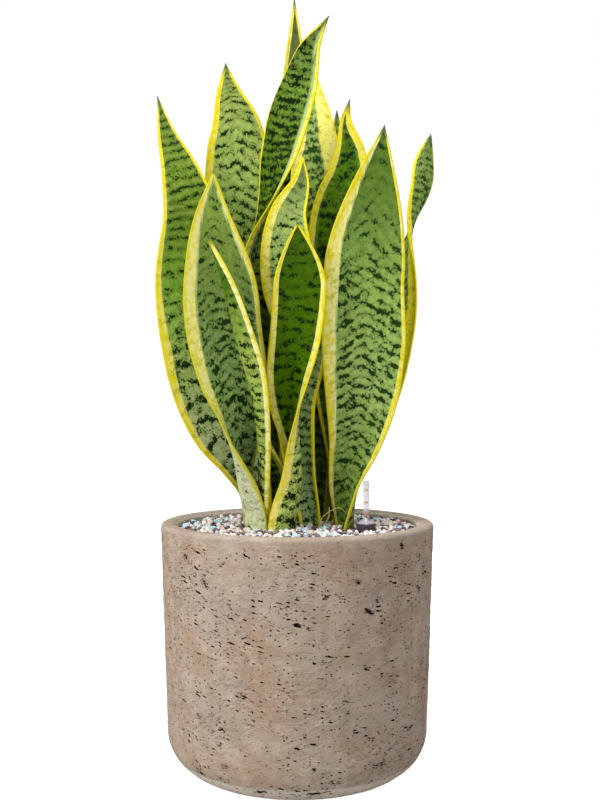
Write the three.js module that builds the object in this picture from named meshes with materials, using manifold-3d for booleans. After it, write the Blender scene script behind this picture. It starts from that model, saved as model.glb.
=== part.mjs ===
// Potted laurentii snake plant: sword leaves on rhizomes, mineral granulate, a fibre-clay planter
// and the water-level gauge that stands in it.
// Millimetres, +Z up. The origin is on the planter's axis, in the plane of its flat foot.
import * as THREE from 'three';
import { mergeVertices } from 'three/addons/utils/BufferGeometryUtils.js';
import Module from 'manifold-3d';

const wasm = await Module();
wasm.setup();

// Driving dimensions
const clearance = 0.3;
const planter = {
  height: 230,
  rimRadius: 127.5,
  footTaper: 0.94,
  cornerRadius: 40,
  outerLipRadius: 4,
  innerLipRadius: 7,
  mouthRadius: 115,
  boreRadius: 112,
  floorRadius: 104,
  floor: 14,
  innerCornerRadius: 26,
  sides: 56,
};
const rootBallTop = 190;
const granulateTop = 224;
const rhizome = { depth: 27, radius: 17, edge: 6 };
const blade = {
  stations: 16,
  stationCrowding: 1.3,
  acrossSteps: 4,
  footThickness: 6,
  middleThickness: 4.4,
  topThickness: 2.6,
  marginThickness: 1.5,
  taperPower: 1.6,
  spineLength: 8,
  spineWidth: 2.6,
  spineEnd: 0.9,
};
const gauge = {
  x: 63,
  y: -30,
  casingRadius: 7.5,
  casingWall: 1.3,
  casingBottom: 18,
  stopTop: 21.5,
  stopRadius: 3.5,
  cupRadius: 9,
  cupBottom: 219,
  cupTop: 230,
  bellTop: 237.5,
  tubeRadius: 3.1,
  tubeWall: 0.7,
  top: 270,
  floatRadius: 5.4,
  floatBottom: 21.8,
  floatLength: 46,
  pointerRadius: 1.3,
  pointerTop: 240.4,
  socketDepth: 12,
  sides: 16,
};

// Every leaf: rows along its midrib from the foot to the tip, each
// [x, y, z, flat width, turn of the inner face in degrees, curl across in degrees],
// and the length over which the blade narrows to its point.
// A turn of 0 faces -Y, and a positive turn goes towards +X.
const leaves = {
  leaf_far_left: {
    point: 150,
    rows: [
      [-39, 21, 190.3, 30, 10, 130],
      [-39.5, 19, 228, 31, 10, 120],
      [-41.5, 15, 260, 36, 8, 100],
      [-55, 8, 288, 46, 7, 85],
      [-72.5, 0, 316, 56, 4, 68],
      [-83.5, -5, 344, 61, 3, 58],
      [-95.5, -11, 399, 64, 1, 50],
      [-101, -12, 450, 63, 0, 48],
      [-98.5, -11, 512, 58, 0, 45],
      [-110.3, -7, 560, 53, -2, 45],
      [-121.5, -3, 590, 49, -4, 45],
      [-132, 0, 630, 44, -6, 45],
    ],
  },
  leaf_left_back: {
    point: 90,
    rows: [
      [-31, 41, 190.3, 29, 0, 140],
      [-31, 40, 228, 30, 0, 130],
      [-38, 34, 315, 46, 0, 85],
      [-49, 31, 402, 56, 0, 60],
      [-58, 30, 490, 60, 4, 50],
      [-60.5, 32, 560, 60, 6, 45],
      [-59, 34, 606, 57, 4, 45],
      [-67, 37, 645, 52, 2, 45],
      [-70.5, 40, 674, 50, 0, 45],
    ],
  },
  leaf_tall_back: {
    point: 150,
    rows: [
      [-4, 41, 190.3, 26, 0, 140],
      [-4, 43, 228, 27, 0, 130],
      [-6, 58, 344, 42, 0, 90],
      [-5, 63, 464, 50, 0, 70],
      [-4, 65, 560, 50, 0, 65],
      [-1, 64, 640, 42, 0, 75],
      [-2.5, 67, 700, 37, 0, 85],
      [-3, 70, 748, 36, 0, 90],
    ],
  },
  leaf_tall_front: {
    point: 116,
    rows: [
      [-11, 20, 190.3, 26, -5, 140],
      [-12, 20, 228, 26, -8, 130],
      [-18, 15.5, 270, 31, -32, 112],
      [-32, 5, 315, 40, -72, 95],
      [-42, 0, 400, 45, -86, 65],
      [-40.5, -1, 487, 45, -90, 60],
      [-28.5, 0, 520, 44, -75, 60],
      [-20.7, 1, 547, 44, -56, 60],
      [-14.5, 2, 575, 43, -31, 60],
      [-7.6, 4, 607, 43, -17, 55],
      [3.2, 6, 645, 45, -8, 50],
      [12.8, 8, 680, 46, 0, 45],
      [30, 8, 709, 44, 8, 45],
    ],
  },
  leaf_back_pale: {
    point: 110,
    rows: [
      [17, 32, 190.3, 25, 5, 140],
      [18, 32, 228, 26, 5, 130],
      [21, 38, 344, 43, 0, 75],
      [18, 44, 462, 52, 0, 55],
      [19, 49, 609, 52, 0, 50],
      [16.5, 54, 672, 50, 0, 45],
    ],
  },
  leaf_right_dark: {
    point: 125,
    rows: [
      [43, 17, 190.3, 21, 0, 140],
      [43.5, 16, 228, 22, 0, 130],
      [45, 16, 284, 36, 0, 100],
      [41, 16, 335, 46, 0, 75],
      [35, 16, 400, 55, 0, 58],
      [36, 15, 460, 57, 0, 50],
      [38.5, 14, 507, 56, 0, 48],
      [42.5, 14, 535, 55, 0, 45],
      [49, 14, 560, 52, 0, 45],
      [50.5, 15, 580, 51, 0, 45],
      [46.6, 18, 611, 44, 0, 45],
      [50.3, 20, 633, 44, 0, 45],
    ],
  },
  leaf_back_narrow: {
    point: 100,
    rows: [
      [31, 50, 190.3, 26, -5, 140],
      [32, 51, 228, 28, -5, 130],
      [40, 57, 340, 36, 0, 80],
      [43, 62, 444, 40, 0, 60],
      [40, 66, 545, 38, 0, 50],
      [40, 70, 636, 36, 0, 45],
    ],
  },
  leaf_front_right: {
    point: 130,
    rows: [
      [49, -6, 190.3, 34, -90, 160],
      [49.5, -8, 228, 38, -75, 150],
      [48.5, -14, 262, 41, -45, 130],
      [55.5, -22, 306, 55, -18, 90],
      [59, -31, 343, 68, -8, 62],
      [60, -38, 391, 78, -3, 50],
      [59.7, -42, 453, 75, 0, 45],
      [68.7, -44, 528, 73, 0, 42],
      [78.7, -44, 592, 68, 0, 40],
    ],
  },
  leaf_far_right: {
    point: 45,
    rows: [
      [43, 34, 190.3, 23, -45, 140],
      [45, 34, 228, 24, -50, 130],
      [55, 31, 262, 28, -60, 105],
      [73, 21, 306, 34, -60, 85],
      [84, 14, 332, 37, -60, 72],
      [96, 9, 371, 40, -60, 62],
      [106, 6, 430, 40, -62, 58],
      [107.2, 5, 475, 38, -74, 55],
      [107, 4, 497, 35, -88, 52],
      [111.5, 4, 520, 31, -112, 48],
      [119.6, 4, 550, 28.5, -140, 45],
      [121.8, 4.5, 570, 31, -146, 46],
      [126.6, 6, 596, 30, -148, 48],
    ],
  },
  leaf_centre_pale: {
    point: 129,
    rows: [
      [14, 9, 190.3, 26, -25, 130],
      [14, 6, 228, 26, -25, 120],
      [5.5, 0, 275, 34, -25, 95],
      [1, -6, 311, 38, -20, 78],
      [-2, -11, 342, 44, -14, 66],
      [1, -16, 373, 50, -8, 58],
      [4, -19, 400, 50, 0, 52],
      [1.5, -21, 422, 52, 0, 49],
      [-2.6, -22.5, 440, 56, 0, 48],
      [-9.5, -26, 475, 57, 0, 48],
      [-8.5, -28, 513, 57, 0, 48],
      [3, -27, 545, 56, 5, 50],
      [5.2, -26, 570, 50, 10, 50],
    ],
  },
  leaf_front_centre: {
    point: 55,
    rows: [
      [-7.5, -20.5, 190.3, 47, -118, 190],
      [-5, -22.5, 228, 51, -118, 185],
      [2, -29, 276, 48, -98, 160],
      [-1, -35, 311, 47, -76, 130],
      [-4.5, -40, 336, 47, -52, 110],
      [-5.5, -45, 361, 47, -29, 90],
      [-1, -53, 400, 49, -8, 72],
      [2, -60, 440, 49, 0, 62],
      [0, -68, 500, 48, 0, 55],
    ],
  },
  leaf_front_left: {
    point: 117,
    rows: [
      [-44, -17, 190.3, 38, 115, 175],
      [-45, -19, 228, 42, 115, 168],
      [-53.5, -23, 274, 49, 92, 148],
      [-55.5, -28, 296, 54, 70, 128],
      [-55.5, -32, 316, 57, 48, 108],
      [-55.5, -35, 337, 60, 30, 90],
      [-60, -41, 369, 67, 12, 66],
      [-66, -45, 405, 70, 5, 52],
      [-69, -48, 444, 70, 0, 46],
      [-75.5, -53, 507, 69, 0, 45],
      [-74.6, -56, 548, 66, 0, 45],
    ],
  },
  leaf_front_slim: {
    point: 130,
    rows: [
      [-33, -12, 190.3, 20, 110, 120],
      [-34, -15, 228, 22, 108, 120],
      [-33, -34, 281, 25, 106, 112],
      [-35, -52, 327, 32, 112, 108],
      [-41.2, -66, 364, 37, 120, 100],
      [-49, -74, 393, 38, 125, 98],
      [-61, -81, 441, 37, 128, 95],
      [-78.2, -84, 488, 34, 130, 95],
    ],
  },
  leaf_rear_left: {
    point: 110,
    rows: [
      [-20, 59, 190.3, 28, 10, 140],
      [-21, 60, 228, 30, 10, 130],
      [-29, 72, 340, 46, 6, 70],
      [-33, 81, 440, 50, 0, 52],
      [-28, 89, 545, 46, -6, 45],
    ],
  },
  leaf_rear_right: {
    point: 105,
    rows: [
      [28, 73, 190.3, 26, -10, 140],
      [30, 75, 228, 28, -10, 130],
      [50, 83, 330, 44, -6, 72],
      [58, 90, 420, 48, 0, 54],
      [52, 97, 515, 44, 6, 45],
    ],
  },
  leaf_rear_centre: {
    point: 95,
    rows: [
      [3, 62, 190.3, 26, 0, 140],
      [3, 65, 228, 28, 0, 130],
      [4, 86, 310, 40, 0, 74],
      [6, 100, 380, 43, 0, 56],
      [3, 112, 452, 38, 0, 48],
    ],
  },
};

// Rhizomes under the leaf feet, each from one end of its axis to the other.
const rhizomes = {
  rhizome_left: [[-40, -13], [-33, 28]],
  rhizome_centre: [[4, -14], [8, 24]],
  rhizome_right: [[47, -2], [45, 26]],
  rhizome_back: [[-14, 60], [26, 66]],
};

const colours = {
  clay: 0xb5a493,
  peat: 0x3b2a20,
  granulate: 0xd8cfc4,
  rhizome: 0xc98f4e,
  leafGreen: 0x5f8a3c,
  casing: 0x3a3338,
  clearPlastic: 0xd9dbe0,
  pointer: 0xc2452d,
  float: 0xe9e7e0,
};

// Solids

function toSolid(geometry) {
  const bare = geometry.clone();
  bare.deleteAttribute('normal');
  bare.deleteAttribute('uv');
  const merged = mergeVertices(bare, 1e-4);
  const vertProperties = Float32Array.from(merged.attributes.position.array);
  const triVerts = Uint32Array.from(merged.index.array);
  return new wasm.Manifold(new wasm.Mesh({ numProp: 3, vertProperties, triVerts }));
}

function toGeometry(solid) {
  const mesh = solid.getMesh();
  const geometry = new THREE.BufferGeometry();
  geometry.setAttribute('position', new THREE.BufferAttribute(Float32Array.from(mesh.vertProperties), 3));
  geometry.setIndex(new THREE.BufferAttribute(Uint32Array.from(mesh.triVerts), 1));
  geometry.computeVertexNormals();
  return geometry;
}

function turned(profile, sides) {
  const geometry = new THREE.LatheGeometry(profile, sides);
  geometry.rotateX(Math.PI / 2);
  return geometry;
}

function point(radius, height) {
  return new THREE.Vector2(radius, height);
}

// Points of a round corner about a centre, between two angles in degrees.
function corner(x, y, radius, from, to, steps) {
  const points = [];
  for (let step = 0; step <= steps; step += 1) {
    const angle = THREE.MathUtils.degToRad(from + ((to - from) * step) / steps);
    points.push(point(x + radius * Math.cos(angle), y + radius * Math.sin(angle)));
  }
  return points;
}

// Planter: a tapered pot with a large round corner at the foot and a soft lip.

function planterOuterRadius(z) {
  const footRadius = planter.rimRadius * planter.footTaper;
  return footRadius + ((planter.rimRadius - footRadius) * z) / planter.height;
}

function planterInnerRadius(z) {
  const depth = planter.height - planter.innerLipRadius - planter.floor;
  return planter.floorRadius + ((planter.boreRadius - planter.floorRadius) * (z - planter.floor)) / depth;
}

function planterGeometry() {
  const { height, floor, cornerRadius, outerLipRadius, innerLipRadius, innerCornerRadius } = planter;
  const wall = planterOuterRadius(cornerRadius);
  const lip = planter.mouthRadius;
  const lipStart = height - innerLipRadius;
  const innerWall = planterInnerRadius(floor + innerCornerRadius);
  return turned([
    point(0, 0),
    ...corner(wall - cornerRadius, cornerRadius, cornerRadius, -90, 0, 8),
    ...corner(planter.rimRadius - outerLipRadius, height - outerLipRadius, outerLipRadius, 0, 90, 4),
    ...corner(lip + innerLipRadius * 0.4, lipStart, innerLipRadius, 90, 180, 4)
      .map((at) => point(Math.max(at.x, planter.boreRadius), at.y)),
    ...corner(innerWall - innerCornerRadius, floor + innerCornerRadius, innerCornerRadius, 0, -90, 5),
    point(0, floor),
  ], planter.sides);
}

// A filling that keeps the clearance to the inside of the planter, between two heights.
function fillingGeometry(bottom, top) {
  const reach = planter.innerCornerRadius - clearance;
  const cornerCentre = planterInnerRadius(planter.floor + planter.innerCornerRadius) - planter.innerCornerRadius;
  const onFloor = bottom < planter.floor + planter.innerCornerRadius;
  const lower = onFloor
    ? corner(cornerCentre, planter.floor + planter.innerCornerRadius, reach, -90, 0, 5)
    : [point(planterInnerRadius(bottom) - clearance, bottom)];
  return turned([
    point(0, lower[0].y),
    ...lower,
    point(Math.min(planterInnerRadius(top), planter.boreRadius) - clearance, top),
    point(0, top),
  ], planter.sides);
}

// Leaves

// Cubic interpolation of rows over their distance along the midrib.
function rowReader(rows) {
  const distance = [0];
  for (let at = 1; at < rows.length; at += 1) {
    const step = Math.hypot(...[0, 1, 2].map((axis) => rows[at][axis] - rows[at - 1][axis]));
    distance.push(distance[at - 1] + step);
  }
  const slope = (low, high, column) => (rows[high][column] - rows[low][column]) / (distance[high] - distance[low]);
  const tangent = (at, column) => {
    if (at === 0) return slope(0, 1, column);
    if (at === rows.length - 1) return slope(at - 1, at, column);
    const before = distance[at] - distance[at - 1];
    const after = distance[at + 1] - distance[at];
    return (slope(at, at + 1, column) * before + slope(at - 1, at, column) * after) / (before + after);
  };
  const read = (along) => {
    let at = 0;
    while (at < rows.length - 2 && along > distance[at + 1]) at += 1;
    const span = distance[at + 1] - distance[at];
    const t = (along - distance[at]) / span;
    const startWeight = 2 * t ** 3 - 3 * t ** 2 + 1;
    const startTangent = t ** 3 - 2 * t ** 2 + t;
    const endWeight = 3 * t ** 2 - 2 * t ** 3;
    const endTangent = t ** 3 - t ** 2;
    return rows[at].map((value, column) => value * startWeight
      + tangent(at, column) * span * startTangent
      + rows[at + 1][column] * endWeight
      + tangent(at + 1, column) * span * endTangent);
  };
  return { length: distance.at(-1), read };
}

// Where the leaf stands at a distance along it: midrib, directions, width, curl and thickness.
function leafStation(leaf, reader, along) {
  const row = reader.read(along);
  const ahead = reader.read(Math.min(along + 0.5, reader.length));
  const behind = reader.read(Math.max(along - 0.5, 0));
  const midrib = new THREE.Vector3(row[0], row[1], row[2]);
  const tangent = new THREE.Vector3(ahead[0] - behind[0], ahead[1] - behind[1], ahead[2] - behind[2]).normalize();
  const turn = THREE.MathUtils.degToRad(row[4]);
  const facing = new THREE.Vector3(Math.sin(turn), -Math.cos(turn), 0);
  facing.addScaledVector(tangent, -facing.dot(tangent)).normalize();
  const side = new THREE.Vector3().crossVectors(tangent, facing);
  const left = reader.length - along;
  const narrowing = 1 - (1 - Math.min(left / leaf.point, 1)) ** blade.taperPower;
  const spine = blade.spineEnd + (blade.spineWidth - blade.spineEnd) * Math.min(left / blade.spineLength, 1);
  const width = Math.max(row[3] * narrowing, spine);
  const part = along / reader.length;
  const fullThickness = part < 0.5
    ? THREE.MathUtils.lerp(blade.footThickness, blade.middleThickness, part * 2)
    : THREE.MathUtils.lerp(blade.middleThickness, blade.topThickness, part * 2 - 1);
  const thickness = Math.min(fullThickness, width * 0.8);
  return { midrib, tangent, facing, side, width, curl: THREE.MathUtils.degToRad(row[5]), thickness };
}

// One ring of the leaf's section: the inner face from margin to margin, then the outer face back.
function leafRing(station, grow) {
  const { midrib, facing, side, curl } = station;
  const width = station.width + 2 * grow;
  const bend = width / curl;
  const face = (across, sign) => {
    const angle = (across * curl) / 2;
    const margin = Math.min(blade.marginThickness, station.thickness);
    const half = (margin + (station.thickness - margin) * (1 - across ** 2)) / 2 + grow;
    return midrib.clone()
      .addScaledVector(side, bend * Math.sin(angle) - sign * half * Math.sin(angle))
      .addScaledVector(facing, bend * (1 - Math.cos(angle)) + sign * half * Math.cos(angle));
  };
  const steps = blade.acrossSteps;
  const ring = [];
  for (let step = 0; step <= steps; step += 1) ring.push(face((2 * step) / steps - 1, 1));
  for (let step = steps; step >= 0; step -= 1) ring.push(face((2 * step) / steps - 1, -1));
  return ring;
}

// The whole leaf, with its foot cut level; grow widens it and lengthens its foot, for cutting
// the hole that it stands in.
function leafGeometry(leaf, grow = 0) {
  const reader = rowReader(leaf.rows);
  const rings = [];
  for (let at = 0; at < blade.stations; at += 1) {
    const along = reader.length * (1 - (1 - at / (blade.stations - 1)) ** blade.stationCrowding);
    const ring = leafRing(leafStation(leaf, reader, along), grow);
    if (at === 0) ring.forEach((corner) => corner.setZ(leaf.rows[0][2]));
    if (at === 0 && grow > 0) rings.push(ring.map((corner) => corner.clone().setZ(corner.z - 3)));
    rings.push(ring);
  }
  const count = rings[0].length;
  const index = [];
  for (let ring = 0; ring < rings.length - 1; ring += 1) {
    for (let at = 0; at < count; at += 1) {
      const next = (at + 1) % count;
      const low = ring * count;
      const high = low + count;
      index.push(low + at, low + next, high + next, low + at, high + next, high + at);
    }
  }
  const last = (rings.length - 1) * count;
  for (let at = 0; at < count / 2 - 1; at += 1) {
    const across = count - 1 - at;
    index.push(at, across - 1, at + 1, at, across, across - 1);
    index.push(last + at, last + at + 1, last + across - 1, last + at, last + across - 1, last + across);
  }
  const positions = rings.flat().flatMap((at) => [at.x, at.y, at.z]);
  const geometry = new THREE.BufferGeometry();
  geometry.setAttribute('position', new THREE.Float32BufferAttribute(positions, 3));
  geometry.setIndex(index);
  geometry.computeVertexNormals();
  return geometry;
}

// Rhizomes: thick creeping stems with round ends, flush with the top of the root ball.
function rhizomeGeometry([start, end], grow) {
  const from = new THREE.Vector2(...start);
  const to = new THREE.Vector2(...end);
  const heading = Math.atan2(to.y - from.y, to.x - from.x);
  const radius = rhizome.radius + grow - rhizome.edge;
  const outline = new THREE.Shape();
  outline.absarc(to.x, to.y, radius, heading - Math.PI / 2, heading + Math.PI / 2, false);
  outline.absarc(from.x, from.y, radius, heading + Math.PI / 2, heading + Math.PI * 1.5, false);
  const geometry = new THREE.ExtrudeGeometry(outline, {
    depth: rhizome.depth - 2 * rhizome.edge,
    bevelThickness: rhizome.edge + grow,
    bevelSize: rhizome.edge,
    bevelSegments: 1,
    curveSegments: 6,
  });
  geometry.translate(0, 0, rootBallTop - rhizome.depth + rhizome.edge);
  return geometry;
}

// Water-level gauge

function gaugeTube(outer, bottom, top) {
  return turned([point(0, bottom), point(outer, bottom), point(outer, top), point(0, top)], gauge.sides);
}

function atGauge(geometry) {
  return geometry.translate(gauge.x, gauge.y, 0);
}

// Dark casing: a tube down to the water at the pot's floor, with an open stop under the float
// and a cup above the granulate.
function casingGeometry() {
  const inner = gauge.casingRadius - gauge.casingWall;
  return atGauge(turned([
    point(gauge.stopRadius, gauge.casingBottom),
    point(gauge.casingRadius, gauge.casingBottom),
    point(gauge.casingRadius, gauge.cupBottom - 2),
    point(gauge.cupRadius, gauge.cupBottom),
    point(gauge.cupRadius, gauge.cupTop),
    point(inner, gauge.cupTop),
    point(inner, gauge.stopTop),
    point(gauge.stopRadius, gauge.stopTop),
    point(gauge.stopRadius, gauge.casingBottom),
  ], gauge.sides));
}

// Clear window: a bell on the cup and a narrow tube closed at the top.
function windowGeometry() {
  const wall = gauge.tubeWall;
  const bottom = gauge.cupTop + clearance;
  const bellRadius = gauge.cupRadius - 0.6;
  return atGauge(turned([
    point(bellRadius - wall, bottom),
    point(bellRadius, bottom),
    point(bellRadius, bottom + 1.2),
    point(gauge.tubeRadius, gauge.bellTop),
    point(gauge.tubeRadius, gauge.top - 0.6),
    point(gauge.tubeRadius - 0.6, gauge.top),
    point(0, gauge.top),
    point(0, gauge.top - wall),
    point(gauge.tubeRadius - wall, gauge.top - wall),
    point(gauge.tubeRadius - wall, gauge.bellTop),
    point(bellRadius - wall, bottom + 1.2),
    point(bellRadius - wall, bottom),
  ], gauge.sides));
}

function floatGeometry() {
  const top = gauge.floatBottom + gauge.floatLength;
  const socket = gauge.pointerRadius + clearance;
  return atGauge(turned([
    point(0, gauge.floatBottom),
    point(gauge.floatRadius - 1, gauge.floatBottom),
    point(gauge.floatRadius, gauge.floatBottom + 1),
    point(gauge.floatRadius, top - 1),
    point(gauge.floatRadius - 1, top),
    point(socket, top),
    point(socket, top - gauge.socketDepth),
    point(0, top - gauge.socketDepth),
  ], gauge.sides));
}

function pointerGeometry() {
  const bottom = gauge.floatBottom + gauge.floatLength - gauge.socketDepth + clearance;
  return atGauge(gaugeTube(gauge.pointerRadius, bottom, gauge.pointerTop));
}

// Assembly

const group = new THREE.Group();

function addPiece(name, geometry, colour, roughness, extra = {}) {
  const material = new THREE.MeshStandardMaterial({ color: colour, roughness, metalness: 0, ...extra });
  const mesh = new THREE.Mesh(geometry, material);
  mesh.name = name;
  group.add(mesh);
}

addPiece('planter', planterGeometry(), colours.clay, 0.85);

let rootBall = toSolid(fillingGeometry(planter.floor, rootBallTop));
for (const [name, axis] of Object.entries(rhizomes)) {
  addPiece(name, rhizomeGeometry(axis, 0), colours.rhizome, 0.7);
  rootBall = rootBall.subtract(toSolid(rhizomeGeometry(axis, clearance)));
}
const gaugeBore = toSolid(atGauge(gaugeTube(gauge.casingRadius + clearance, 0, gauge.cupTop)));
rootBall = rootBall.subtract(gaugeBore);
addPiece('root_ball', toGeometry(rootBall), colours.peat, 0.95);

let granulate = toSolid(fillingGeometry(rootBallTop + clearance, granulateTop)).subtract(gaugeBore);
const cupBore = gaugeTube(gauge.cupRadius + clearance, gauge.cupBottom - 2 - clearance, gauge.cupTop);
granulate = granulate.subtract(toSolid(atGauge(cupBore)));
for (const [name, leaf] of Object.entries(leaves)) {
  addPiece(name, leafGeometry(leaf), colours.leafGreen, 0.45, { side: THREE.DoubleSide });
  granulate = granulate.subtract(toSolid(leafGeometry(leaf, clearance + 0.05)));
}
addPiece('granulate_layer', toGeometry(granulate), colours.granulate, 0.9);

addPiece('gauge_casing', casingGeometry(), colours.casing, 0.3);
addPiece('gauge_window', windowGeometry(), colours.clearPlastic, 0.15, { transparent: true, opacity: 0.5 });
addPiece('gauge_float', floatGeometry(), colours.float, 0.5);
addPiece('gauge_pointer', pointerGeometry(), colours.pointer, 0.45);

export default group;
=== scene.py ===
# A variegated snake plant in a round fibre-clay planter, with mineral granulate on top and a
# water-level gauge. Metres in Blender; the dictionaries below give sizes in millimetres.
import math

import bmesh
import bpy
import numpy as np
from mathutils import Matrix, Vector, noise


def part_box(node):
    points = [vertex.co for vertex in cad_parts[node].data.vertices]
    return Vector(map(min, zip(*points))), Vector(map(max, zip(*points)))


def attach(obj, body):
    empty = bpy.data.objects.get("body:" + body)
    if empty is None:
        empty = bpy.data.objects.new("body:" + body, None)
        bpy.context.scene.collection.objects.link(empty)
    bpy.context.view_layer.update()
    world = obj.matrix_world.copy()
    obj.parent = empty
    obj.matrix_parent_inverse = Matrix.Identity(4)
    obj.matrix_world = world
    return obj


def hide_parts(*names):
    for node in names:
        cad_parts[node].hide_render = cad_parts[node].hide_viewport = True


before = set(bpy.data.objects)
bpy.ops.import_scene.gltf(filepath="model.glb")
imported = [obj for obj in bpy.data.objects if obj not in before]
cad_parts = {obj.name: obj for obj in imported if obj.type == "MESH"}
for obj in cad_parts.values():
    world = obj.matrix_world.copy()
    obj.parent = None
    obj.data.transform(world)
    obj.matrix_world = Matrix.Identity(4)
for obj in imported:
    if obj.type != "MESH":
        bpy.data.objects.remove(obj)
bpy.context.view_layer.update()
mm = 0.001


def linearColour(hexColour, alpha=1.0):
    # sRGB hex to the linear values that shaders and lights take
    channels = [int(hexColour[at:at + 2], 16) / 255 for at in (1, 3, 5)]
    return (*[c / 12.92 if c <= 0.04045 else ((c + 0.055) / 1.055) ** 2.4 for c in channels], alpha)


def addNode(material, kind, links=None, out=0, **settings):
    # one shader node with its settings and links; gives back the chosen output
    node = material.node_tree.nodes.new("ShaderNode" + kind)
    for name, value in settings.items():
        setattr(node, name, value)
    for name, value in (links or {}).items():
        if isinstance(value, bpy.types.NodeSocket):
            material.node_tree.links.new(value, node.inputs[name])
        elif isinstance(value, str) and value.startswith("#"):
            node.inputs[name].default_value = linearColour(value)
        else:
            node.inputs[name].default_value = value
    return node.outputs[out] if len(node.outputs) else node


def startMaterial(name):
    material = bpy.data.materials.new(name)
    material.use_nodes = True
    material.node_tree.nodes.clear()
    return material


def finishMaterial(material, **sockets):
    # the surface shader from its socket names, with _ for a space
    links = {name.replace("_", " "): value for name, value in sockets.items()}
    shader = addNode(material, "BsdfPrincipled", links)
    addNode(material, "OutputMaterial", {"Surface": shader})
    return material


def meshPiece(name, points, faces, material, body="planted_pot", smooth=True):
    # a piece from points in metres, riding on a CAD body
    mesh = bpy.data.meshes.new(name)
    mesh.from_pydata([tuple(point) for point in points], [], [tuple(face) for face in faces])
    mesh.polygons.foreach_set("use_smooth", [smooth] * len(mesh.polygons))
    mesh.materials.append(material)
    piece = bpy.data.objects.new(name, mesh)
    bpy.context.scene.collection.objects.link(piece)
    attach(piece, body)
    return piece


def pointAttribute(piece, name, kind, values):
    layer = piece.data.attributes.new(name, kind, "POINT")
    key = "vector" if kind == "FLOAT_VECTOR" else "value"
    layer.data.foreach_set(key, np.asarray(values, np.float32).ravel())


def smoothNoise(point, size, layers=1, seed=0.0):
    # -1 to 1, with features of the given size
    at = Vector((point[0] / size + seed, point[1] / size - seed, point[2] / size + 2 * seed))
    if layers == 1:
        return noise.noise(at)
    return noise.fractal(at, 1.0, 2.0, layers)


def turnedGrid(profile, sides):
    # points and faces of a profile of (radius, height) turned round the Z axis, open at both ends
    angle = np.arange(sides) * (2 * math.pi / sides)
    ring = np.column_stack([np.cos(angle), np.sin(angle)])
    points = []
    for radius, height in profile:
        points.extend([(radius * x, radius * y, height) for x, y in ring])
    faces = []
    for row in range(len(profile) - 1):
        for at in range(sides):
            low = row * sides
            after = (at + 1) % sides
            faces.append((low + at, low + after, low + sides + after, low + sides + at))
    return points, faces


def arcPoints(x, y, radius, start, end, steps):
    # points of a round corner about a centre, between two angles in degrees
    turns = np.radians(np.linspace(start, end, steps + 1))
    return [(x + radius * math.cos(a), y + radius * math.sin(a)) for a in turns]


def linePoints(start, end, steps):
    # points from one place to another, both left out
    return [
        (start[0] + (end[0] - start[0]) * at / steps, start[1] + (end[1] - start[1]) * at / steps)
        for at in range(1, steps)
    ]


# Camera, level with the middle of the leaves. Pixels are those of a picture 600 by 800.
cameraPlace = {
    "distance": 1.0,
    "height": 0.3476,
    "focalPixels": 1060,
    "imageHeight": 800,
    "sensor": 36.0,
    "nearest": 0.05,
    "furthest": 60,
    "axisPixel": 297.3,
    "axisPixelCentre": 300,
    "horizonPixel": 396.0,
    "horizonPixelCentre": 400,
}


def makeCamera():
    place = cameraPlace
    data = bpy.data.cameras.new("camera")
    data.sensor_width = place["sensor"]
    data.lens = place["focalPixels"] / place["imageHeight"] * place["sensor"]
    data.shift_x = (place["axisPixelCentre"] - place["axisPixel"]) / place["imageHeight"]
    data.shift_y = (place["horizonPixel"] - place["horizonPixelCentre"]) / place["imageHeight"]
    data.clip_start = place["nearest"]
    data.clip_end = place["furthest"]
    camera = bpy.data.objects.new("camera", data)
    camera.location = (0, -place["distance"], place["height"])
    camera.rotation_euler = (math.radians(90), 0, 0)
    bpy.context.scene.collection.objects.link(camera)
    bpy.context.scene.camera = camera


# Studio: a white room with one broad soft light from the left, a weaker one from above and a
# fill from the right for the leaves and the grains. The floor's glow is what the camera sees, and
# bounce is how much of it the object gets, each from near the pot to its reach.
studio = {
    "skyStrength": 0.28,
    "keyPlace": (-1.82, -1.38, 1.7),
    "keyPower": 52,
    "keySize": 1.1,
    "topPlace": (0.1, -0.3, 2.6),
    "topPower": 40,
    "topSize": 1.2,
    "leafPlace": (0.85, -1.6, 0.8),
    "leafPower": 14.5,
    "leafSize": 1.8,
    "aim": (0, 0, 0.35),
    "floorSize": 30,
    "glowFrom": 0.3,
    "glowReach": 1.2,
    "glowNear": 0.95,
    "glowFar": 0.99,
    "bounceFrom": 0.12,
    "bounceReach": 0.4,
    "bounceNear": 0.09,
    "bounceFar": 0.2,
}


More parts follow.
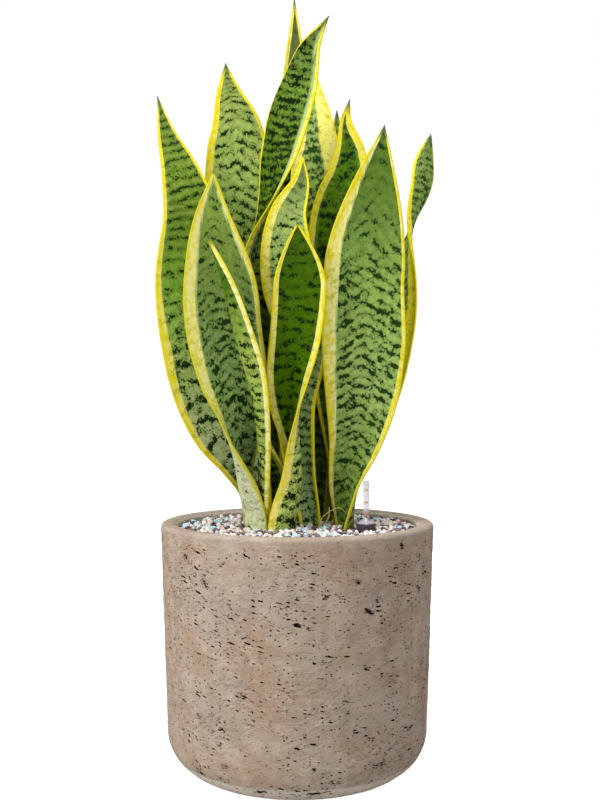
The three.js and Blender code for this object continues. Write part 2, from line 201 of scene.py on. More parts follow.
def makeStudio():
    scene = bpy.context.scene
    scene.view_settings.view_transform = "Standard"
    world = bpy.data.worlds.new("studio")
    world.use_nodes = True
    world.node_tree.nodes.clear()
    seen = addNode(world, "LightPath", out="Is Camera Ray")
    strength = addNode(world, "MapRange", {"Value": seen, "To Min": studio["skyStrength"], "To Max": 1.0})
    sky = addNode(world, "Background", {"Color": "#ffffff", "Strength": strength})
    addNode(world, "OutputWorld", {"Surface": sky})
    scene.world = world
    for name in ("key", "top", "leaf"):
        data = bpy.data.lights.new(name, "AREA")
        data.energy = studio[name + "Power"]
        data.size = studio[name + "Size"]
        light = bpy.data.objects.new(name, data)
        light.location = studio[name + "Place"]
        aim = Vector(studio["aim"]) - light.location
        light.rotation_euler = aim.to_track_quat("-Z", "Y").to_euler()
        scene.collection.objects.link(light)
    # the leaf light fills the leaves and the grains, and leaves the planter alone
    fillOnly = bpy.data.collections.new("fillOnly")
    light.light_linking.receiver_collection = fillOnly

    # matt white paper sweep: a pale floor with no grain, lit up evenly away from the pot
    paper = startMaterial("whitePaper")
    place = addNode(paper, "TexCoord", out="Object")
    distance = addNode(paper, "VectorMath", {0: place}, operation="LENGTH", out="Value")
    glow, bounce = (
        addNode(paper, "MapRange", {"Value": distance, "From Min": studio[name + "From"],
                                    "From Max": studio[name + "Reach"], "To Min": studio[name + "Near"],
                                    "To Max": studio[name + "Far"]})
        for name in ("glow", "bounce")
    )
    direct = addNode(paper, "LightPath", out="Is Camera Ray")
    direct = addNode(paper, "MapRange", {"Value": direct, "To Min": bounce, "To Max": 1.0})
    glow = addNode(paper, "Math", {0: glow, 1: direct}, operation="MULTIPLY")
    finishMaterial(paper, Base_Color="#bcbcbc", Roughness=0.9, Emission_Color="#ffffff",
                   Emission_Strength=glow)
    half = studio["floorSize"] / 2
    corners = [(-half, -half, 0), (half, -half, 0), (half, half, 0), (-half, half, 0)]
    mesh = bpy.data.meshes.new("floor")
    mesh.from_pydata(corners, [], [(0, 1, 2, 3)])
    mesh.materials.append(paper)
    floor = bpy.data.objects.new("floor", mesh)
    scene.collection.objects.link(floor)


makeCamera()
makeStudio()
print("camera and studio ready")

# Leaves. Each has rows along its midrib from the foot to the tip, in mm and degrees:
# [x, y, z, flat width, turn of the inner face, curl across], and the length over which it
# narrows to its point. A turn of 0 faces -Y, and a positive turn goes towards +X.
blades = {
    "leaf_far_left": {
        "point": 150,
        "rows": [
            [-39, 21, 190.3, 30, 10, 130], [-39.5, 19, 228, 31, 10, 120], [-41.5, 15, 260, 36, 8, 100],
            [-55, 8, 288, 46, 7, 85], [-72.5, 0, 316, 56, 4, 68], [-83.5, -5, 344, 61, 3, 58],
            [-95.5, -11, 399, 64, 1, 50], [-101, -12, 450, 63, 0, 48], [-98.5, -11, 512, 58, 0, 45],
            [-110.3, -7, 560, 53, -2, 45], [-121.5, -3, 590, 49, -4, 45], [-132, 0, 630, 44, -6, 45],
        ],
    },
    "leaf_left_back": {
        "point": 90,
        "rows": [
            [-31, 41, 190.3, 29, 0, 140], [-31, 40, 228, 30, 0, 130], [-38, 34, 315, 46, 0, 85],
            [-49, 31, 402, 56, 0, 60], [-58, 30, 490, 60, 4, 50], [-60.5, 32, 560, 60, 6, 45],
            [-59, 34, 606, 57, 4, 45], [-67, 37, 645, 52, 2, 45], [-70.5, 40, 674, 50, 0, 45],
        ],
    },
    "leaf_tall_back": {
        "point": 150,
        "rows": [
            [-4, 41, 190.3, 26, 0, 140], [-4, 43, 228, 27, 0, 130], [-6, 58, 344, 42, 0, 90],
            [-5, 63, 464, 50, 0, 70], [-4, 65, 560, 50, 0, 65], [-1, 64, 640, 42, 0, 75],
            [-2.5, 67, 700, 37, 0, 85], [-3, 70, 748, 36, 0, 90],
        ],
    },
    "leaf_tall_front": {
        "point": 116,
        "rows": [
            [-11, 20, 190.3, 26, -5, 140], [-12, 20, 228, 26, -8, 130], [-18, 15.5, 270, 31, -32, 112],
            [-32, 5, 315, 40, -72, 95], [-42, 0, 400, 45, -86, 65], [-40.5, -1, 487, 45, -90, 60],
            [-28.5, 0, 520, 44, -75, 60], [-20.7, 1, 547, 44, -56, 60], [-14.5, 2, 575, 43, -31, 60],
            [-7.6, 4, 607, 43, -17, 55], [3.2, 6, 645, 45, -8, 50], [12.8, 8, 680, 46, 0, 45],
            [30, 8, 709, 44, 8, 45],
        ],
    },
    "leaf_back_pale": {
        "point": 110,
        "rows": [
            [17, 32, 190.3, 25, 5, 140], [18, 32, 228, 26, 5, 130], [21, 38, 344, 43, 0, 75],
            [18, 44, 462, 52, 0, 55], [19, 49, 609, 52, 0, 50], [16.5, 54, 672, 50, 0, 45],
        ],
    },
    "leaf_right_dark": {
        "point": 125,
        "rows": [
            [43, 17, 190.3, 21, 0, 140], [43.5, 16, 228, 22, 0, 130], [45, 16, 284, 36, 0, 100],
            [41, 16, 335, 46, 0, 75], [35, 16, 400, 55, 0, 58], [36, 15, 460, 57, 0, 50],
            [38.5, 14, 507, 56, 0, 48], [42.5, 14, 535, 55, 0, 45], [49, 14, 560, 52, 0, 45],
            [50.5, 15, 580, 51, 0, 45], [46.6, 18, 611, 44, 0, 45], [50.3, 20, 633, 44, 0, 45],
        ],
    },
    "leaf_back_narrow": {
        "point": 100,
        "rows": [
            [31, 50, 190.3, 26, -5, 140], [32, 51, 228, 28, -5, 130], [40, 57, 340, 36, 0, 80],
            [43, 62, 444, 40, 0, 60], [40, 66, 545, 38, 0, 50], [40, 70, 636, 36, 0, 45],
        ],
    },
    "leaf_front_right": {
        "point": 130,
        "rows": [
            [49, -6, 190.3, 34, -90, 160], [49.5, -8, 228, 38, -75, 150],
            [48.5, -14, 262, 41, -45, 130], [55.5, -22, 306, 55, -18, 90], [59, -31, 343, 68, -8, 62],
            [60, -38, 391, 78, -3, 50], [59.7, -42, 453, 75, 0, 45], [68.7, -44, 528, 73, 0, 42],
            [78.7, -44, 592, 68, 0, 40],
        ],
    },
    "leaf_far_right": {
        "point": 45,
        "rows": [
            [43, 34, 190.3, 23, -45, 140], [45, 34, 228, 24, -50, 130], [55, 31, 262, 28, -60, 105],
            [73, 21, 306, 34, -60, 85], [84, 14, 332, 37, -60, 72], [96, 9, 371, 40, -60, 62],
            [106, 6, 430, 40, -62, 58], [107.2, 5, 475, 38, -74, 55], [107, 4, 497, 35, -88, 52],
            [111.5, 4, 520, 31, -112, 48], [119.6, 4, 550, 28.5, -140, 45],
            [121.8, 4.5, 570, 31, -146, 46], [126.6, 6, 596, 30, -148, 48],
        ],
    },
    "leaf_centre_pale": {
        "point": 129,
        "rows": [
            [14, 9, 190.3, 26, -25, 130], [14, 6, 228, 26, -25, 120], [5.5, 0, 275, 34, -25, 95],
            [1, -6, 311, 38, -20, 78], [-2, -11, 342, 44, -14, 66], [1, -16, 373, 50, -8, 58],
            [4, -19, 400, 50, 0, 52], [1.5, -21, 422, 52, 0, 49], [-2.6, -22.5, 440, 56, 0, 48],
            [-9.5, -26, 475, 57, 0, 48], [-8.5, -28, 513, 57, 0, 48], [3, -27, 545, 56, 5, 50],
            [5.2, -26, 570, 50, 10, 50],
        ],
    },
    "leaf_front_centre": {
        "point": 55,
        "rows": [
            [-7.5, -20.5, 190.3, 47, -118, 190], [-5, -22.5, 228, 51, -118, 185],
            [2, -29, 276, 48, -98, 160], [-1, -35, 311, 47, -76, 130], [-4.5, -40, 336, 47, -52, 110],
            [-5.5, -45, 361, 47, -29, 90], [-1, -53, 400, 49, -8, 72], [2, -60, 440, 49, 0, 62],
            [0, -68, 500, 48, 0, 55],
        ],
    },
    "leaf_front_left": {
        "point": 117,
        "rows": [
            [-44, -17, 190.3, 38, 115, 175], [-45, -19, 228, 42, 115, 168],
            [-53.5, -23, 274, 49, 92, 148], [-55.5, -28, 296, 54, 70, 128],
            [-55.5, -32, 316, 57, 48, 108], [-55.5, -35, 337, 60, 30, 90], [-60, -41, 369, 67, 12, 66],
            [-66, -45, 405, 70, 5, 52], [-69, -48, 444, 70, 0, 46], [-75.5, -53, 507, 69, 0, 45],
            [-74.6, -56, 548, 66, 0, 45],
        ],
    },
    "leaf_front_slim": {
        "point": 130,
        "rows": [
            [-33, -12, 190.3, 20, 110, 120], [-34, -15, 228, 22, 108, 120],
            [-33, -34, 281, 25, 106, 112], [-35, -52, 327, 32, 112, 108],
            [-41.2, -66, 364, 37, 120, 100], [-49, -74, 393, 38, 125, 98],
            [-61, -81, 441, 37, 128, 95], [-78.2, -84, 488, 34, 130, 95],
        ],
    },
    "leaf_rear_left": {
        "point": 110,
        "rows": [
            [-20, 59, 190.3, 28, 10, 140], [-21, 60, 228, 30, 10, 130], [-29, 72, 340, 46, 6, 70],
            [-33, 81, 440, 50, 0, 52], [-28, 89, 545, 46, -6, 45],
        ],
    },
    "leaf_rear_right": {
        "point": 105,
        "rows": [
            [28, 73, 190.3, 26, -10, 140], [30, 75, 228, 28, -10, 130], [50, 83, 330, 44, -6, 72],
            [58, 90, 420, 48, 0, 54], [52, 97, 515, 44, 6, 45],
        ],
    },
    "leaf_rear_centre": {
        "point": 95,
        "rows": [
            [3, 62, 190.3, 26, 0, 140], [3, 65, 228, 28, 0, 130], [4, 86, 310, 40, 0, 74],
            [6, 100, 380, 43, 0, 56], [3, 112, 452, 38, 0, 48],
        ],
    },
}

bladeForm = {
    "stations": 170,
    "crowding": 1.2,
    "acrossSteps": 26,
    "edgeCrowding": 0.75,
    "footThickness": 6.0,
    "middleThickness": 4.4,
    "topThickness": 2.6,
    "marginThickness": 1.5,
    "taperPower": 1.6,
    "spineLength": 8.0,
    "spineWidth": 2.6,
    "spineEnd": 0.9,
    "ruffle": 1.1,
    "ruffleLength": 55.0,
    "ruffleFoot": 90,
    "ruffleTip": 60,
    "ridge": 0.12,
    "ridgeWidth": 5.0,
    "ridgeLength": 40,
    "edgeRound": 0.6,
    "thickest": 0.8,
}

# How a leaf is marked unless its own look says otherwise. Lengths are in mm. Lists run from the
# foot to the tip as [share of the length, value], and margins as [share, low side, high side].
plainLook = {
    "greens": [[0.0, "#6a8642"], [0.5, "#6f8f3a"], [1.0, "#7b9a3f"]],  # from the foot to the tip
    "paleBand": "#9db862",  # between the dark bands
    "deep": "#3c5f1a",  # round the dark marks
    "mark": "#142b06",  # the dark marks themselves
    "outer": "#84a052",  # the outer face
    "outerTop": None,  # the outer face near the tip, where it differs
    "yellow": "#e9e18c",  # cream of the margins
    "edge": "#dccd16",  # their rim and the vivid patches
    "olive": "#a9ab20",  # flecks in the margins
    "stripe": "#cdd99a",  # thin line inside a margin
    "stripes": [0.1, 0.1],  # its strength on the low and the high side
    "stripeReach": 3.0,
    "rimReach": 3.2,
    "outerMarks": 0.0,  # below 0 for fewer marks on the outer face
    "tip": "#48602f",
    "tipReach": 15.0,
    "spacing": [[0, 11], [1, 9]],  # from one cross-band to the next
    "vigour": [[0, 1], [1, 1]],  # strength of the cross-bands
    "lineGain": 0.33,  # how closely the clots keep to the bands
    "lineHalf": 3.5,  # half the height of a band
    "clot": 2.0,  # size of one dark clot
    "darkFrom": 0.74,  # higher for fewer marks
    "paleness": 0.4,
    "breakUp": 1.1,  # gaps in the bands
    "chevron": 0.35,  # how steeply the bands fall towards the margins
    "wobble": 9.0,
    "tooth": 7.0,
    "drift": 16.0,
    "vivid": 0.1,  # higher for less cream in the margins
    "margins": [[0, 3, 3], [0.3, 5, 5], [0.8, 5, 5], [1, 2, 2]],
    "foot": [0.3, 1.0],  # length of the painted shade at the foot, and its brightness
    "warmth": "#fff5f9",  # multiplied into every green
}

looks = {
    "leaf_far_left": {
        # the light greens over the lower part are partly the leaf's own paler foot and partly painted
        # light, lightening it where it stands in shade
        "greens": [[0.0, "#4a683a"], [0.12, "#7a936a"], [0.28, "#aabd8c"], [0.42, "#98b562"],
                   [0.58, "#6d9b2c"], [0.74, "#526f19"], [0.83, "#658223"], [1.0, "#4a642b"]],
        "paleBand": "#9ab358",
        "spacing": [[0, 18], [0.35, 20], [0.55, 13], [0.7, 10], [1, 8]],
        "vigour": [[0, 1.2], [0.5, 1.1], [0.6, 0.8], [0.8, 0.95], [1, 0.9]],
        "chevron": 0.15, "vivid": 0.6,
        "margins": [[0, 1, 1.5], [0.15, 4, 2], [0.3, 6, 2], [0.47, 9, 2], [0.6, 5.5, 2.5],
                    [0.72, 3.5, 2.5], [0.9, 3, 2], [1, 1, 0.4]],
    },
    "leaf_left_back": {
        "greens": [[0.0, "#6d9146"], [0.5, "#86a94b"], [0.72, "#8bab52"], [0.82, "#91ad54"],
                   [0.92, "#819848"], [1.0, "#5a6b34"]],
        "paleBand": "#b5c672",
        "spacing": [[0, 12], [0.6, 12], [0.85, 12], [0.93, 5], [1, 5]],
        "vigour": [[0, 1.1], [0.7, 1], [0.9, 0.9], [1, 0.8]],
        "lineHalf": 2.5, "clot": 1.7, "chevron": 0.45, "vivid": 0.75,
        "margins": [[0, 3, 0.8], [0.45, 6, 1.0], [0.6, 9, 2.5], [0.85, 7, 3], [0.95, 4, 2.5],
                    [1, 2, 1.5]],
        "foot": [0.62, 0.3],
    },
    "leaf_tall_back": {
        "greens": [[0.0, "#5a7a3c"], [0.6, "#465e36"], [0.88, "#5c6d3d"], [1.0, "#34461d"]],
        "paleBand": "#c6cf9c",
        "vigour": [[0, 1], [0.7, 1], [0.85, 0.55], [1, 0.4]],
        "margins": [[0, 4, 4], [0.5, 5, 5], [0.75, 4, 2], [0.93, 3.5, 1.8], [1, 1.5, 1]],
    },
    "leaf_tall_front": {
        "greens": [[0.0, "#3c5a14"], [0.6, "#4e7413"], [0.75, "#486b10"], [0.86, "#668832"],
                   [0.92, "#607d38"], [1.0, "#465a2d"]],
        "paleBand": "#7a9c3a", "deep": "#2f4c0c", "mark": "#0f2206", "stripe": "#a8ba70",
        "stripes": [0.0, 1.0], "stripeReach": 5.0,
        "spacing": [[0, 9], [1, 8]],
        "vigour": [[0, 1.1], [0.72, 1.1], [0.82, 0.98], [0.9, 0.82], [0.96, 0.85], [1, 1.0]],
        "lineGain": 0.28, "lineHalf": 4.0, "clot": 2.2, "darkFrom": 0.68, "paleness": 0.35,
        "breakUp": 0.9, "chevron": 0.05, "vivid": 0.35,
        "margins": [[0, 3, 4], [0.35, 2, 6.5], [0.62, 2, 6.5], [0.75, 1.6, 5.2], [0.82, 0.3, 4],
                    [0.92, 0.4, 2.8], [0.97, 2.0, 2.6], [1, 1.5, 1.5]],
    },
    "leaf_back_pale": {
        # greens and margin yellows are partly the leaf's own pale colour and partly painted light,
        # brightened where it stands in the shade of the leaves in front
        "greens": [[0.0, "#5b7f3c"], [0.7, "#96b85c"], [1.0, "#9ebe64"]],
        "paleBand": "#accc78", "mark": "#2c4c1c", "yellow": "#fff892", "edge": "#f4ea40",
        "lineGain": 0.3, "lineHalf": 3.6, "clot": 2.4, "darkFrom": 0.73, "vivid": 0.3,
        "margins": [[0, 2, 3], [0.4, 4, 8], [0.6, 8, 16], [0.85, 10, 19], [1, 3, 5]],
        "foot": [0.55, 0.35],
    },
    "leaf_right_dark": {
        "greens": [[0.0, "#2c4a0a"], [0.6, "#40650a"], [0.8, "#4e790e"], [0.91, "#43680f"],
                   [1.0, "#37540f"]],
        "paleBand": "#5e8420", "deep": "#254208", "mark": "#12280a", "yellow": "#ddd470",
        "lineGain": 0.2, "lineHalf": 4.0, "darkFrom": 0.7, "paleness": 0.3, "breakUp": 1.3,
        "chevron": 0.1, "vivid": 0.55,
        "margins": [[0, 2, 3], [0.25, 2.5, 3], [0.5, 6, 5], [0.8, 6.5, 8], [0.93, 4, 7], [1, 2, 3]],
        "foot": [0.35, 0.5],
    },
    "leaf_back_narrow": {"tip": "#2c4a1c", "margins": [[0, 3, 3], [0.6, 3, 3], [1, 1, 1]]},
    "leaf_front_right": {
        "greens": [[0.0, "#50741c"], [0.16, "#63852e"], [0.4, "#8da95a"], [0.62, "#7e9f48"],
                   [0.78, "#5f7e33"], [0.9, "#4e6d1e"], [1.0, "#49681c"]],
        "paleBand": "#9cb66a", "deep": "#3e5f20", "mark": "#1a3410", "yellow": "#e2df92",
        "edge": "#d2c21a", "stripe": "#dde2a8", "stripes": [1.0, 0.0], "stripeReach": 1.6,
        "rimReach": 11.0,
        "spacing": [[0, 10], [0.35, 8.5], [0.6, 10], [0.75, 14], [1, 14]],
        "vigour": [[0, 0.85], [0.2, 1.0], [0.66, 1.02], [0.72, 0.78], [0.85, 0.66], [0.95, 0.74],
                   [1, 1.3]],
        "lineGain": 0.27, "clot": 2.2, "darkFrom": 0.7, "paleness": 0.3, "chevron": 0.72,
        "tooth": 5.0, "vivid": 0.08,
        "margins": [[0, 1, 2], [0.12, 1.5, 2.5], [0.24, 4, 5], [0.36, 8, 6], [0.5, 13, 4],
                    [0.68, 14, 3], [0.85, 8, 2.8], [0.95, 2.5, 2], [1, 1, 1]],
    },
    "leaf_far_right": {
        "greens": [[0.0, "#3f5f22"], [0.5, "#5e8040"], [0.8, "#82a44a"], [1.0, "#34521e"]],
        # the strong margin yellows are partly the leaf's own colour and partly painted light, brightening
        # the broad margin that lies in the front leaf's shade
        "paleBand": "#a3bd74", "mark": "#22401a", "outer": "#7c9c48", "yellow": "#f6e840",
        "edge": "#f2e21c",
        "spacing": [[0, 8], [1, 6.5]],
        "lineGain": 0.3, "clot": 1.6, "darkFrom": 0.765, "vivid": 0.6,
        "margins": [[0, 5, 5], [0.3, 4, 20], [0.72, 3, 20], [0.8, 2.4, 5], [0.86, 2, 3],
                    [0.95, 1.8, 2], [1, 1, 1]],
    },
    "leaf_centre_pale": {
        # the light greens near the foot are partly the leaf's own paler foot and partly painted light,
        # lightening it where it stands in shade
        "greens": [[0.0, "#a6cb8c"], [0.12, "#9cc083"], [0.3, "#7f9e64"], [0.55, "#86a960"],
                   [0.75, "#a2c46b"], [0.87, "#86a056"], [1.0, "#4d5c32"]],
        "paleBand": "#b4c77e", "yellow": "#f4ec94", "edge": "#e6d71a", "rimReach": 4.5,
        "tipReach": 4.0,
        "spacing": [[0, 9], [1, 7.5]],
        "vigour": [[0, 1.0], [0.75, 0.95], [0.85, 0.8], [1, 0.45]],
        "lineHalf": 2.4, "clot": 1.8, "breakUp": 1.2, "chevron": 0.2, "vivid": 0.4,
        "margins": [[0, 2.5, 2.5], [0.4, 5, 3.5], [0.65, 9.5, 3], [0.85, 8, 2.6], [1, 2, 1.5]],
    },
    "leaf_front_centre": {
        "greens": [[0.0, "#5c8006"], [0.25, "#5c8802"], [0.42, "#5e8c02"], [0.54, "#4b7502"],
                   [0.66, "#406602"], [0.82, "#3d6006"], [1.0, "#38560f"]],
        "paleBand": "#4e7402", "deep": "#2c4a00", "mark": "#102606", "outer": "#c6e07c",
        "stripes": [0.0, 0.0], "outerMarks": -0.05, "tipReach": 4.0,
        "spacing": [[0, 16], [0.35, 13], [1, 9]],
        "vigour": [[0, 1.5], [0.25, 1.3], [0.5, 1.05], [0.8, 1.0], [1, 0.7]],
        "lineGain": 0.22, "lineHalf": 3.4, "clot": 1.9, "darkFrom": 0.7, "paleness": 0.25,
        "chevron": 0.05, "vivid": 0.3,
        "margins": [[0, 3, 6], [0.15, 7, 7.5], [0.3, 9, 8], [0.55, 7, 7.5], [0.85, 4.5, 4.5],
                    [1, 1.5, 1.5]],
    },
    "leaf_front_left": {
        # the light greens near the foot are partly the leaf's own paler foot and partly painted light,
        # lightening it where it stands in shade
        "greens": [[0.0, "#9ac186"], [0.22, "#9ec77e"], [0.32, "#8aad6d"], [0.42, "#7e9d58"],
                   [0.56, "#6a8546"], [0.68, "#627c3c"], [0.82, "#6a8436"], [0.91, "#72903a"],
                   [1.0, "#698636"]],
        "paleBand": "#86a45c", "mark": "#162e0c", "outer": "#d6e0b4", "yellow": "#d8d484",
        "edge": "#c9bd1e", "stripes": [0.55, 0.7], "stripeReach": 2.4, "outerMarks": -0.22,
        "tipReach": 4.0,
        "spacing": [[0, 10], [0.7, 9], [1, 9]],
        "vigour": [[0, 1.0], [0.62, 1.05], [0.72, 0.7], [1, 0.5]],
        "lineGain": 0.28, "lineHalf": 3.4, "clot": 2.1, "darkFrom": 0.705, "paleness": 0.3,
        "chevron": 0.6, "vivid": 0.25,
        "margins": [[0, 0.8, 2], [0.12, 1.6, 2], [0.25, 5, 2.5], [0.4, 9, 3], [0.6, 12, 4],
                    [0.8, 10, 5], [0.93, 5, 3.5], [1, 1.5, 1.5]],
    },
    "leaf_front_slim": {
        "greens": [[0.0, "#5a7837"], [0.5, "#567a1f"], [1.0, "#486f10"]],
        "paleBand": "#8bab45", "outer": "#a6bd58", "outerTop": "#3f6a0c", "yellow": "#ece6a0",
        "spacing": [[0, 12], [0.4, 9], [1, 8]],
        "vigour": [[0, 1.5], [0.4, 1.1], [0.7, 0.9], [1, 0.4]],
        "lineGain": 0.32, "clot": 1.9, "darkFrom": 0.73, "vivid": 0.0,
        "margins": [[0, 3, 1.5], [0.25, 4, 2.2], [0.5, 4.5, 3], [0.9, 4, 3], [1, 1.2, 1]],
    },
    "leaf_rear_left": {},
    "leaf_rear_right": {},
    "leaf_rear_centre": {},
}


def readRows(rows):
    # cubic interpolation of rows over their distance along the midrib
    rows = np.array(rows, float)
    steps = np.linalg.norm(np.diff(rows[:, :3], axis=0), axis=1)
    distance = np.concatenate([[0], np.cumsum(steps)])
    slopes = np.diff(rows, axis=0) / steps[:, None]
    tangents = np.empty_like(rows)
    tangents[0], tangents[-1] = slopes[0], slopes[-1]
    before, after = steps[:-1, None], steps[1:, None]
    tangents[1:-1] = (slopes[1:] * before + slopes[:-1] * after) / (before + after)

    def read(along):
        at = np.clip(np.searchsorted(distance, along) - 1, 0, len(rows) - 2)
        span = steps[at]
        t = ((along - distance[at]) / span)[:, None]
        span = span[:, None]
        return (rows[at] * (2 * t**3 - 3 * t**2 + 1) + tangents[at] * span * (t**3 - 2 * t**2 + t)
                + rows[at + 1] * (3 * t**2 - 2 * t**3) + tangents[at + 1] * span * (t**3 - t**2))

    return distance[-1], read


def unit(vectors):
    return vectors / np.linalg.norm(vectors, axis=1)[:, None]


def bladeStations(blade, along, length, read):
    # midrib, directions, width, curl and thickness at distances along the leaf
    form = bladeForm
    rows = read(along)
    ahead, behind = np.minimum(along + 0.5, length), np.maximum(along - 0.5, 0)
    tangent = unit(read(ahead)[:, :3] - read(behind)[:, :3])
    turn = np.radians(rows[:, 4])
    facing = np.column_stack([np.sin(turn), -np.cos(turn), np.zeros(len(along))])
    facing = unit(facing - tangent * np.sum(facing * tangent, axis=1)[:, None])
    side = np.cross(tangent, facing)
    left = length - along
    narrowing = 1 - (1 - np.minimum(left / blade["point"], 1)) ** form["taperPower"]
    toSpine = np.minimum(left / form["spineLength"], 1)
    spine = form["spineEnd"] + (form["spineWidth"] - form["spineEnd"]) * toSpine
    width = np.maximum(rows[:, 3] * narrowing, spine)
    thickness = np.interp(along / length, [0, 0.5, 1],
                          [form["footThickness"], form["middleThickness"], form["topThickness"]])
    thickness = np.minimum(thickness, width * form["thickest"])
    return rows[:, :3], facing, side, width, np.radians(rows[:, 5]), thickness


def bladeAcross():
    # places across the blade, -1 to 1, crowded towards the margins
    form = bladeForm
    t = np.linspace(-1, 1, form["acrossSteps"] + 1)
    crowd = form["edgeCrowding"]
    return t * (1 - crowd) + np.sin(t * math.pi / 2) * crowd


def alongShare(pairs, share, column=1):
    # a value that changes along the leaf, read from its list
    return np.interp(share, [pair[0] for pair in pairs], [pair[column] for pair in pairs])


def makeBlade(node, seed):
    blade, look, form = blades[node], {**plainLook, **looks[node]}, bladeForm
    length, read = readRows(blade["rows"])
    share = 1 - (1 - np.linspace(0, 1, form["stations"])) ** form["crowding"]
    along = share * length
    midrib, facing, side, width, curl, thickness = bladeStations(blade, along, length, read)
    across = bladeAcross()
    inner = [(a, 1.0) for a in across]
    outer = [(a, -1.0) for a in across[-2:0:-1]]
    ring = np.array(inner + outer)
    count = len(ring)
    lowWidth = alongShare(look["margins"], share, 1)
    highWidth = alongShare(look["margins"], share, 2)
    vigour = alongShare(look["vigour"], share)
    spacing = alongShare(look["spacing"], share)
    bands = np.concatenate([[0], np.cumsum(np.diff(along) * 2 / (spacing[1:] + spacing[:-1]))])
    points, marks, margins, growth = [], [], [], []
    for at in range(form["stations"]):
        a, sign = ring[:, 0], ring[:, 1]
        edge = min(form["marginThickness"], thickness[at])
        half = (edge + (thickness[at] - edge) * (1 - a**2)) / 2
        reach = min(edge * form["edgeRound"], width[at] / 4)
        over = np.clip((np.abs(a) * width[at] / 2 - (width[at] / 2 - reach)) / reach, 0, 1)
        half = half * np.sqrt(1 - over**2)
        level = along[at] / form["ridgeLength"]
        ridges = np.array([smoothNoise((x * width[at] / 2, level, face * 9), form["ridgeWidth"], 1, seed)
                           for x, face in ring])
        half = half + form["ridge"] * ridges * (1 - over)
        settle = min(along[at] / form["ruffleFoot"], 1) * min((length - along[at]) / form["ruffleTip"], 1)
        wave = [smoothNoise((along[at] / form["ruffleLength"], edgeSide * 4, 0), 1, 1, seed + 0.5)
                for edgeSide in (-1, 1)]
        ruffle = form["ruffle"] * settle * a**2 * np.where(a < 0, wave[0], wave[1])
        bend = width[at] / curl[at]
        angle = a * curl[at] / 2
        sideways = (bend * np.sin(angle) - sign * half * np.sin(angle))[:, None]
        forwards = (bend * (1 - np.cos(angle)) + sign * half * np.cos(angle) + ruffle)[:, None]
        place = midrib[at] + side[at] * sideways + facing[at] * forwards
        if at == 0:
            place[:, 2] = midrib[0, 2]
        points.append(place)
        low, high = (a + 1) / 2 * width[at], (1 - a) / 2 * width[at]
        part = np.minimum(low / lowWidth[at], high / highWidth[at])
        face = np.where(np.abs(a) > 0.999, 0.5, (1 - sign) / 2)
        marks.append(np.column_stack([a * width[at] / 2, np.full(count, along[at]), face]))
        margins.append(np.column_stack([part, np.minimum(low, high), np.full(count, length - along[at])]))
        growth.append(np.tile([share[at], vigour[at], bands[at]], (count, 1)))
    faces = []
    for row in range(form["stations"] - 1):
        for at in range(count):
            low, after = row * count, (at + 1) % count
            faces.append((low + at, low + after, low + count + after, low + count + at))
    faces.append(tuple(range(count - 1, -1, -1)))
    last = (form["stations"] - 1) * count
    faces.append(tuple(range(last, last + count)))
    piece = meshPiece(node + "_blade", np.concatenate(points) * mm, faces,
                      variegatedLeaf(node, look, seed))
    pointAttribute(piece, "blade", "FLOAT_VECTOR", np.concatenate(marks))
    pointAttribute(piece, "margin", "FLOAT_VECTOR", np.concatenate(margins))
    pointAttribute(piece, "growth", "FLOAT_VECTOR", np.concatenate(growth))
    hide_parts(node)
    bpy.data.collections["fillOnly"].objects.link(piece)
    return piece


# Noise in the skin of a leaf: feature size in mm across and along the leaf, detail, roughness
skinPatterns = {
    "wobble": (10, 24, 2, 0.5),  # how the cross-bands wander
    "teeth": (2.0, 8, 1, 0.5),  # jagged sides of bands and margins
    "gaps": (9, 7, 1, 0.5),  # breaks in the bands
    "cloud": (24, 60, 2, 0.5),  # slow drift of the bands, and of the gloss
    "mottle": (5, 6, 3, 0.6),  # lighter and darker green
    "grain": (0.9, 1.2, 2, 0.6),  # fine grain of the skin
    "freckles": (1.1, 1.3, 2, 0.6),  # small dark dots in the green
    "fibre": (0.9, 40, 2, 0.5),  # long ribs in the relief
    "streaks": (2.4, 150, 1, 0.5),  # broken lines inside the margins
    "patches": (3.6, 9, 3, 0.6),  # cream and vivid parts of a margin
    "spots": (5, 6, 2, 0.6),  # vivid spots in the cream
}


